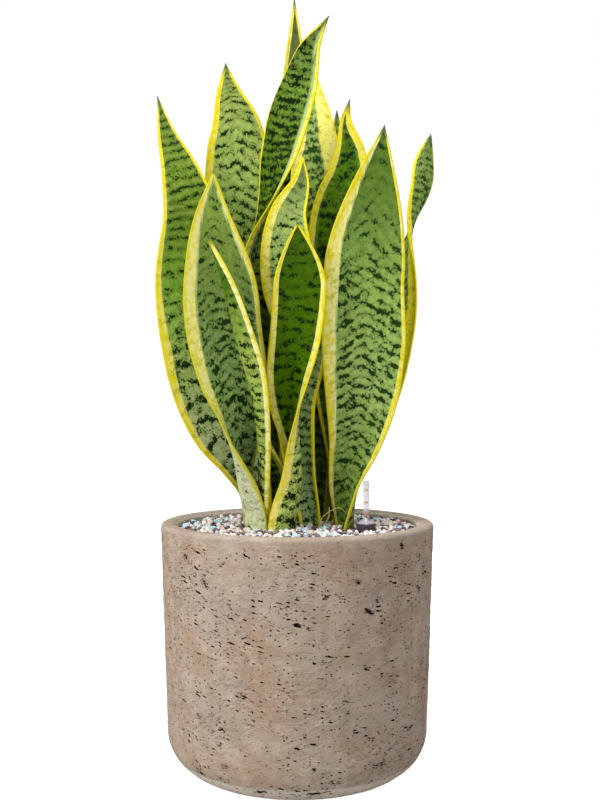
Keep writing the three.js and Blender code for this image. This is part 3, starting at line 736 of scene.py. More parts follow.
def variegatedLeaf(node, look, seed):
    # living leaf: a waxy satin skin, green with dark jagged cross-bands, yellow at both margins
    leaf = startMaterial("waxyLeaf_" + node)
    place = {}
    for attribute, names in (("blade", ("across", "along", "face")), ("margin", ("part", "edge", "left")),
                             ("growth", ("share", "vigour", "band"))):
        place[attribute] = addNode(leaf, "Attribute", attribute_name=attribute, out="Vector")
        for axis, name in enumerate(names):
            place[name] = addNode(leaf, "SeparateXYZ", {"Vector": place[attribute]}, out=axis)
    # each leaf, and each face of it, reads its own part of the noise
    shift = (seed * 71.3, seed * 133.7, seed * 19.1)
    ground = addNode(leaf, "VectorMath", {0: place["blade"], 1: (1, 1, 400), 2: shift},
                     operation="MULTIPLY_ADD")
    pattern = {}
    sizes = {**skinPatterns, "clots": (look["clot"], look["clot"] * 1.1, 2, 0.6)}
    for name, (across, along, detail, roughness) in sizes.items():
        size = (1 / across, 1 / along, 1)
        vector = addNode(leaf, "VectorMath", {0: ground, 1: size}, operation="MULTIPLY")
        pattern[name] = addNode(leaf, "TexNoise", {"Vector": vector, "Scale": 1.0, "Detail": detail,
                                                   "Roughness": roughness}, out="Fac")

    # height within the cross-bands, which lie on arcs that fall towards the margins
    step = sum(pair[1] for pair in look["spacing"]) / len(look["spacing"])
    height = addNode(leaf, "Math", {0: place["band"], 1: step}, operation="MULTIPLY")
    sideDrop = addNode(leaf, "Math", {0: place["across"]}, operation="ABSOLUTE")
    for value, reach in ((sideDrop, look["chevron"]), (pattern["wobble"], look["wobble"]),
                         (pattern["teeth"], look["tooth"]), (pattern["cloud"], look["drift"])):
        height = addNode(leaf, "Math", {0: value, 1: reach, 2: height}, operation="MULTIPLY_ADD")
    distance = addNode(leaf, "Math", {0: height, 1: step / 2}, operation="PINGPONG")

    # masks: what each reads, where it starts, where it is full, and its least and most
    mask = {}
    footReach, paintedFootShade = look["foot"]
    for name, values in {
        "line": (distance, look["lineHalf"], 0.0),
        "between": (distance, step * 0.2, step * 0.5, 0.0, look["paleness"]),
        "strong": (place["vigour"], 0.6, 1.0),
        "outer": (place["face"], 0.45, 0.55),
        "high": (place["share"], 0.6, 0.85),
        # painted shade: the foot darkened where it stands in the other leaves' shade
        "foot": (place["share"], footReach * 0.75, footReach, paintedFootShade, 1.0),
        "tip": (place["left"], look["tipReach"], look["tipReach"] * 0.27),
        "rim": (place["edge"], look["rimReach"], 0.5),
        "sides": (place["across"], -2, 2, *look["stripes"]),
        "streaks": (pattern["streaks"], 0.42, 0.58, 0.25, 1.0),
        "freckles": (pattern["freckles"], 0.6, 0.72, 0.0, 0.55),
        "mottle": (pattern["mottle"], 0.34, 0.66, 0.87, 1.24),
        "cream": (pattern["mottle"], 0.3, 0.7, 0.94, 1.06),
        "grain": (pattern["grain"], 0.3, 0.7, 0.86, 1.14),
        "spots": (pattern["spots"], 0.6, 0.67, 0.0, 0.85),
        "gloss": (pattern["cloud"], 0.3, 0.7, 0.42, 0.58),
    }.items():
        mask[name] = addNode(leaf, "MapRange", dict(enumerate(values)))

    # dark marks: chains of clots along the bands, with gaps, and fewer where the vigour is low
    dark = pattern["clots"]
    gap = addNode(leaf, "Math", {0: pattern["gaps"], 1: 0.5}, operation="SUBTRACT")
    weaker = addNode(leaf, "Math", {0: place["vigour"], 1: 1.0}, operation="SUBTRACT")
    for value, gain in ((mask["line"], look["lineGain"]), (gap, look["breakUp"]), (weaker, 0.4),
                        (mask["outer"], look["outerMarks"])):
        dark = addNode(leaf, "Math", {0: value, 1: gain, 2: dark}, operation="MULTIPLY_ADD")
    start = look["darkFrom"]
    mark = addNode(leaf, "MapRange", {0: dark, 1: start - 0.035, 2: start + 0.045})
    around = addNode(leaf, "MapRange", {0: dark, 1: start - 0.26, 2: start + 0.02, 4: 0.66})
    between = addNode(leaf, "Math", {0: mask["between"], 1: mask["strong"]}, operation="MULTIPLY")
    outer = addNode(leaf, "Math", {0: mask["outer"], 1: 0.88}, operation="MULTIPLY")
    outerGreen = addNode(leaf, "MixRGB", {"Fac": mask["high"], "Color1": look["outer"],
                                          "Color2": look["outerTop"] or look["outer"]})

    # a thin pale stripe just inside each margin
    marginWidth = addNode(leaf, "Math", {0: place["edge"], 1: place["part"]}, operation="DIVIDE")
    beyond = addNode(leaf, "Math", {0: place["edge"], 1: marginWidth}, operation="SUBTRACT")
    stripe = addNode(leaf, "MapRange", {0: beyond, 1: look["stripeReach"], 2: look["stripeReach"] * 0.4})
    for share in (mask["streaks"], mask["sides"]):
        stripe = addNode(leaf, "Math", {0: stripe, 1: share}, operation="MULTIPLY")

    ramp = addNode(leaf, "ValToRGB", {"Fac": place["share"]})
    stops = ramp.node.color_ramp.elements
    for at, (share, colour) in enumerate(look["greens"]):
        stop = stops[at] if at < 2 else stops.new(share)
        stop.position, stop.color = share, linearColour(colour)
    green = ramp
    for share, coat, kind in ((outer, outerGreen, "MIX"), (between, look["paleBand"], "MIX"),
                              (around, look["deep"], "MIX"), (mask["freckles"], look["deep"], "MIX"),
                              (1.0, mask["mottle"], "MULTIPLY"), (1.0, look["warmth"], "MULTIPLY"),
                              (1.0, mask["grain"], "MULTIPLY"), (mark, look["mark"], "MIX"),
                              (stripe, look["stripe"], "MIX")):
        green = addNode(leaf, "MixRGB", {"Fac": share, "Color1": green, "Color2": coat}, blend_type=kind)

    # margins: cream yellow, vivid towards the rim, with olive flecks where the bands reach in
    patches = addNode(leaf, "Math", {0: pattern["patches"], 1: 2.6, 2: look["vivid"] - 1.3},
                      operation="MULTIPLY_ADD")
    vivid = addNode(leaf, "Math", {0: mask["rim"], 1: 0.9, 2: patches}, operation="MULTIPLY_ADD",
                    use_clamp=True)
    vivid = addNode(leaf, "Math", {0: vivid, 1: mask["spots"]}, operation="MAXIMUM")
    middle = addNode(leaf, "Math", {0: place["part"], 1: 0.5}, operation="SUBTRACT")
    middle = addNode(leaf, "Math", {0: middle}, operation="ABSOLUTE")
    flecks = addNode(leaf, "Math", {0: middle, 1: 0.22, 2: dark}, operation="MULTIPLY_ADD")
    flecks = addNode(leaf, "MapRange", {0: flecks, 1: start + 0.03, 2: start + 0.12, 4: 0.6})
    ragged = addNode(leaf, "Math", {0: pattern["teeth"], 1: 0.14, 2: place["part"]},
                     operation="MULTIPLY_ADD")
    within = addNode(leaf, "MapRange", {0: ragged, 1: 1.03, 2: 1.12})
    colour = look["yellow"]
    # the last coat is the painted shade at the foot, over the margins as well as the green
    for share, coat, kind in ((vivid, look["edge"], "MIX"), (flecks, look["olive"], "MIX"),
                              (1.0, mask["cream"], "MULTIPLY"), (within, green, "MIX"),
                              (mask["tip"], look["tip"], "MIX"), (1.0, mask["foot"], "MULTIPLY")):
        colour = addNode(leaf, "MixRGB", {"Fac": share, "Color1": colour, "Color2": coat},
                         blend_type=kind)

    relief = addNode(leaf, "Math", {0: pattern["fibre"], 1: pattern["grain"]}, operation="ADD")
    bump = addNode(leaf, "Bump", {"Height": relief, "Strength": 0.3, "Distance": 0.25 * mm}, out="Normal")
    return finishMaterial(leaf, Base_Color=colour, Roughness=mask["gloss"], Normal=bump, IOR=1.45,
                          Specular_IOR_Level=0.04)


for number, node in enumerate(blades):
    makeBlade(node, number + 1)
print("leaves ready:", len(blades))

# Planter: a cast fibre-clay wall with trowel ripples, open pits and a rounded lip
planterLow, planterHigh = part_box("planter")
planterHeight = (planterHigh.z - planterLow.z) / mm
planterRadius = (planterHigh.x - planterLow.x) / 2 / mm
planterForm = {
    "footTaper": 0.94,
    "cornerRadius": 40.0,
    "outerLip": 4.0,
    "innerLip": 7.0,
    "mouthRadius": 115.0,
    "boreRadius": 112.0,
    "floorRadius": 104.0,
    "floor": 14.0,
    "innerCorner": 26.0,
    "sides": 456,
    "wallRows": 120,
    "ripple": 0.3,
    "rippleSize": 17,
    "swell": 0.45,
    "swellSize": 60,
    "trowel": 0.44,
    "trowelSize": 11,
    "roughSize": 70,
    "fadeTop": 14,
    "fadeFoot": 6,
    "pitDepth": 0.5,
    "randomPits": 70,
    "pitSeed": 7,
}

# The larger groups of pits that face the camera: degrees round from the front (to the right
# positive), height, half length, half height, tilt in degrees, strength
frontPits = [
    [5, 204, 6, 3.0, 4, 0.5], [31, 215, 5, 3.0, 6, 0.7], [45, 219, 6, 4.5, 40, 1.1],
    [57, 207, 6, 3.0, 10, 0.8], [24, 192, 4.5, 3.2, 10, 1.2], [63, 196, 7, 3.4, 12, 0.7],
    [11, 181, 4, 2.6, 8, 1.0], [17, 180, 4, 2.8, 30, 0.9], [-5, 172, 8, 2.6, 14, 0.6],
    [2, 170, 6, 2.6, 16, 0.6], [33, 175, 4, 3.0, 10, 1.1], [29, 166, 8, 3.6, 24, 1.3],
    [-10, 158, 5, 2.6, 12, 0.6], [4, 156, 9, 2.4, 10, 0.7], [58, 178, 7, 4.5, 22, 1.0],
    [36, 158, 4, 2.8, -20, 0.8], [-50, 208, 14, 5.0, 38, 0.75], [-38, 188, 12, 5.0, 36, 0.8],
    [-47, 190, 9, 4.0, 30, 0.6], [-30, 206, 5, 3.4, -40, 0.8], [-56, 178, 8, 3.5, 30, 0.6],
    [-27, 172, 10, 4.0, 34, 0.6], [-44, 166, 7, 3.0, 20, 0.6], [-10, 214, 5, 2.6, 4, 0.5],
    [-60, 150, 5, 3.0, 8, 0.6], [-35, 140, 6, 3.0, 6, 0.6], [-15, 132, 7, 2.8, 8, 0.6],
    [10, 126, 10, 3.2, 6, 0.6], [28, 118, 6, 3.0, 12, 0.9], [50, 128, 6, 4.0, 30, 0.8],
    [64, 110, 5, 5.0, 60, 0.8], [-50, 112, 5, 3.0, 10, 0.6], [-20, 146, 12, 6.0, 16, 0.5],
    [-3, 100, 9, 3.0, 10, 0.6], [20, 92, 8, 3.0, 6, 0.8], [38, 122, 5, 3.0, 14, 0.7],
    [-62, 84, 5, 3.0, 6, 0.6], [-44, 72, 8, 3.0, 8, 0.9], [-32, 66, 6, 3.0, 4, 1.1],
    [6, 58, 9, 3.0, 6, 0.6], [24, 66, 7, 2.6, 10, 1.0], [54, 56, 7, 5.0, 20, 0.7],
    [-18, 72, 6, 2.6, 8, 0.9], [-30, 34, 7, 5.0, 8, 0.7], [-46, 20, 8, 3.0, 4, 1.2],
    [16, 24, 9, 3.0, 8, 0.9], [36, 34, 10, 6.0, 12, 0.8], [-16, 14, 10, 3.0, -6, 1.3],
    [8, 14, 16, 2.6, -4, 1.1], [-38, 44, 12, 9.0, 10, 0.4], [48, 38, 10, 8.0, 10, 0.5],
    [-8, 190, 5, 3.0, 20, 0.8],
]


def planterProfile():
    # (radius, height) from the middle of the foot, up the outside, over the lip and down inside
    form = planterForm
    height, rim = planterHeight, planterRadius
    foot = rim * form["footTaper"]
    wall = foot + (rim - foot) * form["cornerRadius"] / height
    corner = form["cornerRadius"]
    profile = [(radius, 0.0) for radius in np.linspace(0.5, wall - corner, 16)[:-1]]
    profile += arcPoints(wall - corner, corner, corner, -90, 0, 34)
    lipStart = (rim, height - form["outerLip"])
    profile += linePoints(profile[-1], lipStart, form["wallRows"])
    profile += arcPoints(rim - form["outerLip"], lipStart[1], form["outerLip"], 0, 90, 7)
    lipEnd = arcPoints(form["mouthRadius"] + form["innerLip"] * 0.4, height - form["innerLip"],
                       form["innerLip"], 90, 180, 9)
    profile += [(max(radius, form["boreRadius"]), z) for radius, z in lipEnd]
    depth = height - form["innerLip"] - form["floor"]
    cornerTop = form["floor"] + form["innerCorner"]
    inside = form["floorRadius"] + (form["boreRadius"] - form["floorRadius"]) * form["innerCorner"] / depth
    profile += linePoints(profile[-1], (inside, cornerTop), 12)
    profile += arcPoints(inside - form["innerCorner"], cornerTop, form["innerCorner"], 0, -90, 6)
    profile += linePoints(profile[-1], (0.5, form["floor"]), 4)
    profile.append((0.5, form["floor"]))
    return profile


def makePlanter():
    form = planterForm
    profile = planterProfile()
    points, faces = turnedGrid(profile, form["sides"])
    points = np.array(points)
    count = form["sides"]
    faces.append(tuple(range(count - 1, -1, -1)))
    last = (len(profile) - 1) * count
    faces.append(tuple(range(last, last + count)))
    radius = np.hypot(points[:, 0], points[:, 1])
    height = planterHeight
    outer = radius > planterRadius * form["footTaper"] - form["cornerRadius"] - 2
    outer &= (points[:, 2] < height - 1) & (radius > form["boreRadius"] * 0.6)
    outer &= radius > np.interp(points[:, 2], [0, form["cornerRadius"]], [0, planterRadius * 0.9])
    turn = np.degrees(np.arctan2(points[:, 0], -points[:, 1]))
    # pits round the sides and the back are scattered
    draws = np.random.RandomState(form["pitSeed"])
    pits = list(frontPits)
    for _ in range(form["randomPits"]):
        side = draws.uniform(75, 285)
        level = height * draws.uniform(0.03, 0.95)
        pits.append([side, level, draws.uniform(3.5, 11), draws.uniform(2.6, 5), draws.normal(10, 14),
                     draws.uniform(0.5, 1.2)])
    pit = np.zeros(len(points))
    for side, level, long, tall, tilt, strength in pits:
        across = (turn - side + 180) % 360 - 180
        across = np.radians(across) * planterRadius
        above = points[:, 2] - level
        near = outer & (np.abs(across) < 20) & (np.abs(above) < 14)
        c, s = math.cos(math.radians(-tilt)), math.sin(math.radians(-tilt))
        x = across[near] * c + above[near] * s
        y = -across[near] * s + above[near] * c
        pit[near] = np.maximum(pit[near], strength * (1 - (x / long) ** 2 - (y / tall) ** 2))
    pit = np.clip(pit, 0, 1.3)
    push = np.zeros(len(points))
    for at in np.nonzero(outer)[0]:
        x, y, z = points[at]
        fade = min((height - z) / form["fadeTop"], 1) * min(z / form["fadeFoot"], 1)
        ripple = smoothNoise((x, y, z * 2.2), form["rippleSize"], 3)
        swell = smoothNoise((x, y, z * 1.3), form["swellSize"], 1, 3.3)
        stroke = smoothNoise((x, y, (z + 0.3 * x) * 3.0), form["trowelSize"], 2, 7.7)
        rough = max(smoothNoise((x, y, z), form["roughSize"], 1, 11.3) + 0.2, 0)
        push[at] = fade * (form["ripple"] * ripple + form["swell"] * swell
                           + form["trowel"] * rough * stroke)
    push = push - form["pitDepth"] * pit
    outward = points * [1, 1, 0] / np.maximum(radius, 1)[:, None]
    points = points + outward * push[:, None]
    piece = meshPiece("planter_shell", points * mm, faces, washedFibreClay())
    pointAttribute(piece, "pit", "FLOAT", pit)
    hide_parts("planter")


# The clay's skin. Noise: what it runs along, feature size in mm round the pot and up it, detail,
# roughness. Small pits: size in mm, flatness, share of cells with none, least and most opening.
# Colours: the first one, and the coats that lie over it. The bore coat is painted light on the inner wall,
# and the pits coat is painted shade in the holes.
clayFinish = {
    "patterns": {
        "cloud": ("lean", 48, 44, 4, 0.55),
        "patch": ("lean", 20, 15, 3, 0.55),
        "smear": ("upright", 16, 60, 3, 0.6),
        "trowel": ("lean", 11, 5, 4, 0.6),
        "scrape": ("lean", 4.2, 2.4, 3, 0.6),
        "fine": ("lean", 1.4, 1.2, 3, 0.7),
        "worked": ("lean", 70, 60, 1, 0.55),
        "cracks": ("rising", 7, 1.5, 3, 0.6),
        "crowd": ("lean", 34, 26, 2, 0.55),
        "ragged": ("lean", 1.7, 0.8, 2, 0.6),
        "slits": ("lean", 3.8, 0.95, 3, 0.6),
    },
    "pits": ((3.6, 1.5, 0.575, 0.16, 0.29), (7.2, 2.6, 0.67, 0.10, 0.28), (14.0, 4.0, 0.78, 0.09, 0.28)),
    "first": "#b39880",
    "coats": {"cloud": "#baa998", "patch": "#c9b5a2", "smear": "#9d8a79", "trowel": "#a68b76",
              "cracks": "#7c6757", "rim": "#b8ab9e", "bore": "#e6dac9", "pits": "#1a0e05"},
}


def washedFibreClay():
    # cast fibre clay: matt and chalky, clouds of pink-brown and grey, ragged pits painted near-black as the
    # shade in them
    clay = startMaterial("washedFibreClay")
    place = addNode(clay, "TexCoord", out="Object")
    sideways, depthways, height = (addNode(clay, "SeparateXYZ", {"Vector": place}, out=axis)
                                   for axis in "XYZ")
    # the marks of the work climb a little round the pot, and the cracks run across them
    slope = addNode(clay, "MapRange", {0: sideways, 1: -0.12, 2: 0.0, 3: 0.3, 4: 0.13})
    ground = {"upright": place}
    for name, climb in (("lean", slope), ("rising", -0.45)):
        level = addNode(clay, "Math", {0: sideways, 1: climb, 2: height}, operation="MULTIPLY_ADD")
        ground[name] = addNode(clay, "CombineXYZ", {"X": sideways, "Y": depthways, "Z": level})
    pattern = {}
    for name, (along, roundSize, tallSize, detail, roughness) in clayFinish["patterns"].items():
        size = (1 / (roundSize * mm), 1 / (roundSize * mm), 1 / (tallSize * mm))
        vector = addNode(clay, "VectorMath", {0: ground[along], 1: size}, operation="MULTIPLY")
        pattern[name] = addNode(clay, "TexNoise", {"Vector": vector, "Scale": 1.0, "Detail": detail,
                                                   "Roughness": roughness}, out="Fac")
    radius = addNode(clay, "Math", {0: sideways, 1: sideways}, operation="MULTIPLY")
    radius = addNode(clay, "Math", {0: depthways, 1: depthways, 2: radius}, operation="MULTIPLY_ADD")
    radius = addNode(clay, "Math", {0: radius}, operation="SQRT")
    bore = (planterForm["boreRadius"] + 1) * mm

    # masks: what each reads, where it starts, where it is full, and its least and most
    mask = {}
    for name, values in {
        "cloud": (pattern["cloud"], 0.38, 0.62),
        "patch": (pattern["patch"], 0.48, 0.62, 0.0, 0.7),
        "smear": (pattern["smear"], 0.5, 0.7, 0.0, 0.45),
        "trowel": (pattern["trowel"], 0.52, 0.7, 0.0, 0.4),
        "scrape": (pattern["scrape"], 0.3, 0.7, 0.95, 1.04),
        "fine": (pattern["fine"], 0.3, 0.7, 0.89, 1.1),
        "worked": (pattern["worked"], 0.4, 0.62, 0.3, 1.0),
        "cracks": (pattern["cracks"], 0.58, 0.68),
        "belowRim": (height, 0.223, 0.217),
        "rim": (height, 0.219, 0.228, 0.0, 0.45),
        # painted light: the inner wall lightened where it lies in the shade of the lip and the leaves
        "bore": (radius, bore + 2 * mm, bore, 0.0, 0.8),
    }.items():
        mask[name] = addNode(clay, "MapRange", dict(enumerate(values)))
    cracks = addNode(clay, "Math", {0: mask["cracks"], 1: mask["worked"]}, operation="MULTIPLY")
    mask["cracks"] = addNode(clay, "Math", {0: cracks, 1: 0.35}, operation="MULTIPLY")

    # small open pits, most of them lying flat and in groups: a cell has one where its chance is high; their
    # near-black colour is painted shade
    small = 0.0
    for cell, flat, share, least, most in clayFinish["pits"]:
        size = (1 / (cell * mm), 1 / (cell * mm), flat / (cell * mm))
        vector = addNode(clay, "VectorMath", {0: ground["lean"], 1: size}, operation="MULTIPLY")
        cells = addNode(clay, "TexVoronoi", {"Vector": vector, "Scale": 1.0}, out="Distance")
        chance = addNode(clay, "SeparateXYZ", {"Vector": cells.node.outputs["Color"]}, out="X")
        chance = addNode(clay, "Math", {0: pattern["crowd"], 1: 0.9, 2: chance}, operation="MULTIPLY_ADD")
        reach = addNode(clay, "MapRange", {0: chance, 1: share + 0.45, 2: 1.45, 3: least, 4: most})
        uneven = addNode(clay, "Math", {0: pattern["ragged"], 1: 0.5, 2: cells}, operation="MULTIPLY_ADD")
        depth = addNode(clay, "Math", {0: reach, 1: uneven}, operation="SUBTRACT")
        opening = addNode(clay, "MapRange", {0: depth, 1: -0.24, 2: -0.205})
        chosen = addNode(clay, "MapRange", {0: chance, 1: share + 0.45, 2: share + 0.47})
        opening = addNode(clay, "Math", {0: opening, 1: chosen}, operation="MULTIPLY")
        small = addNode(clay, "Math", {0: small, 1: opening}, operation="MAXIMUM")
    small = addNode(clay, "Math", {0: small, 1: mask["belowRim"]}, operation="MULTIPLY")
    # the larger groups, where the wall itself is hollowed, are broken up into slits
    group = addNode(clay, "Attribute", attribute_name="pit", out="Fac")
    large = addNode(clay, "Math", {0: group, 1: 0.24, 2: pattern["slits"]}, operation="MULTIPLY_ADD")
    large = addNode(clay, "MapRange", {0: large, 1: 0.69, 2: 0.72})
    mask["pits"] = addNode(clay, "Math", {0: small, 1: large}, operation="MAXIMUM")

    # from the first colour to the pits, which are painted dark as shade; a mask without a coat makes the
    # colour lighter or darker
    colour = clayFinish["first"]
    for name in ("cloud", "patch", "smear", "trowel", "scrape", "fine", "cracks", "rim", "bore", "pits"):
        if name in clayFinish["coats"]:
            colour = addNode(clay, "MixRGB", {"Fac": mask[name], "Color1": colour,
                                              "Color2": clayFinish["coats"][name]})
        else:
            colour = addNode(clay, "MixRGB", {"Fac": 1.0, "Color1": colour, "Color2": mask[name]},
                             blend_type="MULTIPLY")
    sheen = addNode(clay, "MapRange", {0: mask["pits"], 1: 0.0, 2: 1.0, 3: 0.5, 4: 0.0})

    ridges = addNode(clay, "Math", {0: pattern["scrape"], 1: mask["worked"]}, operation="MULTIPLY")
    relief = pattern["fine"]
    for value, rise in ((pattern["trowel"], 1.6), (ridges, 3.2), (cracks, -1.2), (mask["pits"], -1.4)):
        relief = addNode(clay, "Math", {0: value, 1: rise, 2: relief}, operation="MULTIPLY_ADD")
    bump = addNode(clay, "Bump", {"Height": relief, "Strength": 0.85, "Distance": 0.9 * mm}, out="Normal")
    return finishMaterial(clay, Base_Color=colour, Roughness=0.88, Normal=bump, IOR=1.5,
                          Specular_IOR_Level=sheen)


# Grains on top: round cream pumice, angular pale zeolite and dark lava, from low to high in mm.
# The gaps and the nestling are shares of the radii of the grains that lie there.
grainKinds = {
    "pumice": {"share": 0.42, "low": 4.4, "high": 7.2, "shapes": 12, "angular": False,
               "colours": ("#f3e4d7", "#e2c9b7", "#f2eae2"), "bumps": 0.2},
    "zeolite": {"share": 0.31, "low": 4.6, "high": 8.4, "shapes": 18, "angular": True,
                "colours": ("#cbe9f4", "#aedbec", "#e6f2f4"), "bumps": 0.0},
    "lava": {"share": 0.27, "low": 3.8, "high": 6.6, "shapes": 12, "angular": False,
             "colours": ("#6d545e", "#43313a", "#8d7078"), "bumps": 0.3},
}
grainBed = {
    "tries": 8100,  # many of them find no room
    "level": 218.6,  # of the lowest grains
    "sunk": 0.8,  # they lie up to this much lower
    "raised": 0.6,  # or higher
    "highest": 225.2,
    "reach": 112.0,
    "wallGap": 0.9,
    "gaugeGap": 0.8,
    "leafGap": 0.75,
    "nestling": 0.78,  # below 1, a grain settles into the gap between others
    "tumble": 0.9,  # tilt either way, in radians
    "cell": 9.0,  # side of the squares in which neighbours are looked for
    "bedTop": 219.0,  # top of the gravel under the grains, painted dark as their shade
    "seed": 23,
}


def grainShape(kind, draws):
    # one grain about 1 across, as points and triangles
    mesh = bmesh.new()
    if kind["angular"]:
        for _ in range(13):
            direction = Vector(draws.normal(size=3)).normalized()
            mesh.verts.new(direction * 0.5 * draws.uniform(0.85, 1.1))
        bmesh.ops.convex_hull(mesh, input=mesh.verts[:])
        loose = [vertex for vertex in mesh.verts if not vertex.link_faces]
        bmesh.ops.delete(mesh, geom=loose, context="VERTS")
        bmesh.ops.triangulate(mesh, faces=mesh.faces[:])
    else:
        bmesh.ops.create_icosphere(mesh, subdivisions=2, radius=0.5)
        seed = draws.uniform(0, 50)
        for vertex in mesh.verts:
            vertex.co *= 1 + kind["bumps"] * smoothNoise(vertex.co, 0.55, 2, seed)
    mesh.verts.index_update()
    flattened = np.array([1.0, draws.uniform(0.75, 1), draws.uniform(0.62, 0.85)])
    points = np.array([vertex.co for vertex in mesh.verts]) * flattened
    faces = np.array([[vertex.index for vertex in face.verts] for face in mesh.faces])
    mesh.free()
    return points, faces


def leafFootprints(level):
    # points and half thickness of every leaf's section where it passes a height
    sections = []
    for blade in blades.values():
        length, read = readRows(blade["rows"])
        along = np.linspace(0, length, 400)
        at = np.array([along[np.argmin(np.abs(read(along)[:, 2] - level))]])
        midrib, facing, side, width, curl, thickness = bladeStations(blade, at, length, read)
        across = np.linspace(-1, 1, 15)
        bend = width[0] / curl[0]
        angle = across * curl[0] / 2
        line = midrib[0] + side[0] * (bend * np.sin(angle))[:, None]
        line = line + facing[0] * (bend * (1 - np.cos(angle)))[:, None]
        sections.append((line[:, :2], thickness[0] / 2))
    return sections


def makeGrains():
    # grains dropped one by one, each resting on those already there
    bed = grainBed
    draws = np.random.RandomState(bed["seed"])
    sections = leafFootprints(bed["level"] + 3)
    gaugeLow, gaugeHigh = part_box("gauge_casing")
    gaugeMiddle = np.array([(gaugeLow.x + gaugeHigh.x) / 2, (gaugeLow.y + gaugeHigh.y) / 2]) / mm
    gaugeRadius = (gaugeHigh.x - gaugeLow.x) / 2 / mm
    names = list(grainKinds)
    shares = [grainKinds[name]["share"] for name in names]
    placed = {}
    grains = {name: [] for name in names}
    cell = bed["cell"]
    for _ in range(bed["tries"]):
        name = names[draws.choice(len(names), p=shares)]
        kind = grainKinds[name]
        size = draws.uniform(kind["low"], kind["high"])
        radius = size / 2
        distance = (bed["reach"] - radius * bed["wallGap"]) * math.sqrt(draws.uniform())
        turn = draws.uniform(0, 2 * math.pi)
        spot = np.array([distance * math.cos(turn), distance * math.sin(turn)])
        if np.hypot(*(spot - gaugeMiddle)) < gaugeRadius + radius * bed["gaugeGap"]:
            continue
        leafGap = radius * bed["leafGap"]
        if any(np.hypot(*(line - spot).T).min() < half + leafGap for line, half in sections):
            continue
        column, row = int(spot[0] // cell), int(spot[1] // cell)
        level = bed["level"] + draws.uniform(-bed["sunk"], bed["raised"])
        for i in (column - 1, column, column + 1):
            for j in (row - 1, row, row + 1):
                for other, otherLevel, otherRadius in placed.get((i, j), ()):
                    gap = np.hypot(*(other - spot))
                    reach = (radius + otherRadius) * bed["nestling"]
                    if gap < reach:
                        level = max(level, otherLevel + math.sqrt(reach**2 - gap**2))
        if level > bed["highest"]:
            continue
        placed.setdefault((column, row), []).append((spot, level, radius))
        grains[name].append((spot[0], spot[1], level, size))
    for name in names:
        kind = grainKinds[name]
        shapes = [grainShape(kind, draws) for _ in range(kind["shapes"])]
        points, faces, tints, offset = [], [], [], 0
        for x, y, z, size in grains[name]:
            shape, triangles = shapes[draws.randint(len(shapes))]
            spin = np.array(Matrix.Rotation(draws.uniform(0, 2 * math.pi), 3, "Z")
                            @ Matrix.Rotation(draws.uniform(-bed["tumble"], bed["tumble"]), 3, "X")
                            @ Matrix.Rotation(draws.uniform(-bed["tumble"], bed["tumble"]), 3, "Y"))
            points.append(shape * size @ spin.T + [x, y, z])
            faces.append(triangles + offset)
            tints.append(np.full(len(shape), draws.uniform()))
            offset += len(shape)
        faces = np.concatenate(faces)
        piece = meshPiece("grains_" + name, np.concatenate(points) * mm, faces.tolist(), grainStone(name),
                          smooth=not kind["angular"])
        pointAttribute(piece, "tint", "FLOAT", np.concatenate(tints))
        bpy.data.collections["fillOnly"].objects.link(piece)
        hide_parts("granulate_layer")
        print(name, "grains:", len(grains[name]), "triangles:", len(faces))


def grainStone(name):
    # broken mineral grain: dull, each piece a little lighter or darker, with pores about 1 mm apart
    stone = startMaterial(name + "Grain")
    kind = grainKinds[name]
    middle, dark, light = kind["colours"]
    tint = addNode(stone, "Attribute", attribute_name="tint", out="Fac")
    place = addNode(stone, "TexCoord", out="Object")
    pores = addNode(stone, "TexNoise", {"Vector": place, "Scale": 900.0, "Detail": 3.0}, out="Fac")
    low = addNode(stone, "MapRange", {"Value": tint, "From Min": 0.0, "From Max": 0.5})
    high = addNode(stone, "MapRange", {"Value": tint, "From Min": 0.5, "From Max": 1.0})
    colour = addNode(stone, "MixRGB", {"Fac": low, "Color1": dark, "Color2": middle})
    colour = addNode(stone, "MixRGB", {"Fac": high, "Color1": colour, "Color2": light})
    pore = addNode(stone, "MapRange", {"Value": pores, "From Min": 0.3, "From Max": 0.65, "To Min": 0.72,
                                       "To Max": 1.08})
    colour = addNode(stone, "MixRGB", {"Fac": 1.0, "Color1": colour, "Color2": pore},
                     blend_type="MULTIPLY")
    bump = addNode(stone, "Bump", {"Height": pores, "Strength": 0.5, "Distance": 0.3 * mm}, out="Normal")
    return finishMaterial(stone, Base_Color=colour, Roughness=0.8, Normal=bump, IOR=1.5)


def makeGranulateBed():
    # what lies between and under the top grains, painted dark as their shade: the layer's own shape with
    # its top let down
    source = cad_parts["granulate_layer"]
    mesh = source.data.copy()
    mesh.name = "granulate_bed"
    top = grainBed["bedTop"] * mm
    for vertex in mesh.vertices:
        vertex.co.z = min(vertex.co.z, top)
    mesh.materials.clear()
    mesh.materials.append(gravelInPaintedShade())
    piece = bpy.data.objects.new("granulate_bed", mesh)
    bpy.context.scene.collection.objects.link(piece)
    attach(piece, "planted_pot")
    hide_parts("granulate_layer")


def gravelInPaintedShade():
    # gravel between the grains, painted dark as the shade under them: uneven, in lumps of 4 to 5 mm
    gravel = startMaterial("gravelInPaintedShade")
    place = addNode(gravel, "TexCoord", out="Object")
    cells = addNode(gravel, "TexVoronoi", {"Vector": place, "Scale": 220.0}, out="Distance")
    shade = addNode(gravel, "MapRange", {"Value": cells, "From Min": 0.1, "From Max": 0.6})
    colour = addNode(gravel, "MixRGB", {"Fac": shade, "Color1": "#5b4a46", "Color2": "#1d1614"})
    bump = addNode(gravel, "Bump", {"Height": cells, "Strength": 0.8, "Distance": 2 * mm}, out="Normal")
    return finishMaterial(gravel, Base_Color=colour, Roughness=0.9, Normal=bump)


makePlanter()
print("planter ready")
makeGrains()
makeGranulateBed()
print("granulate ready")


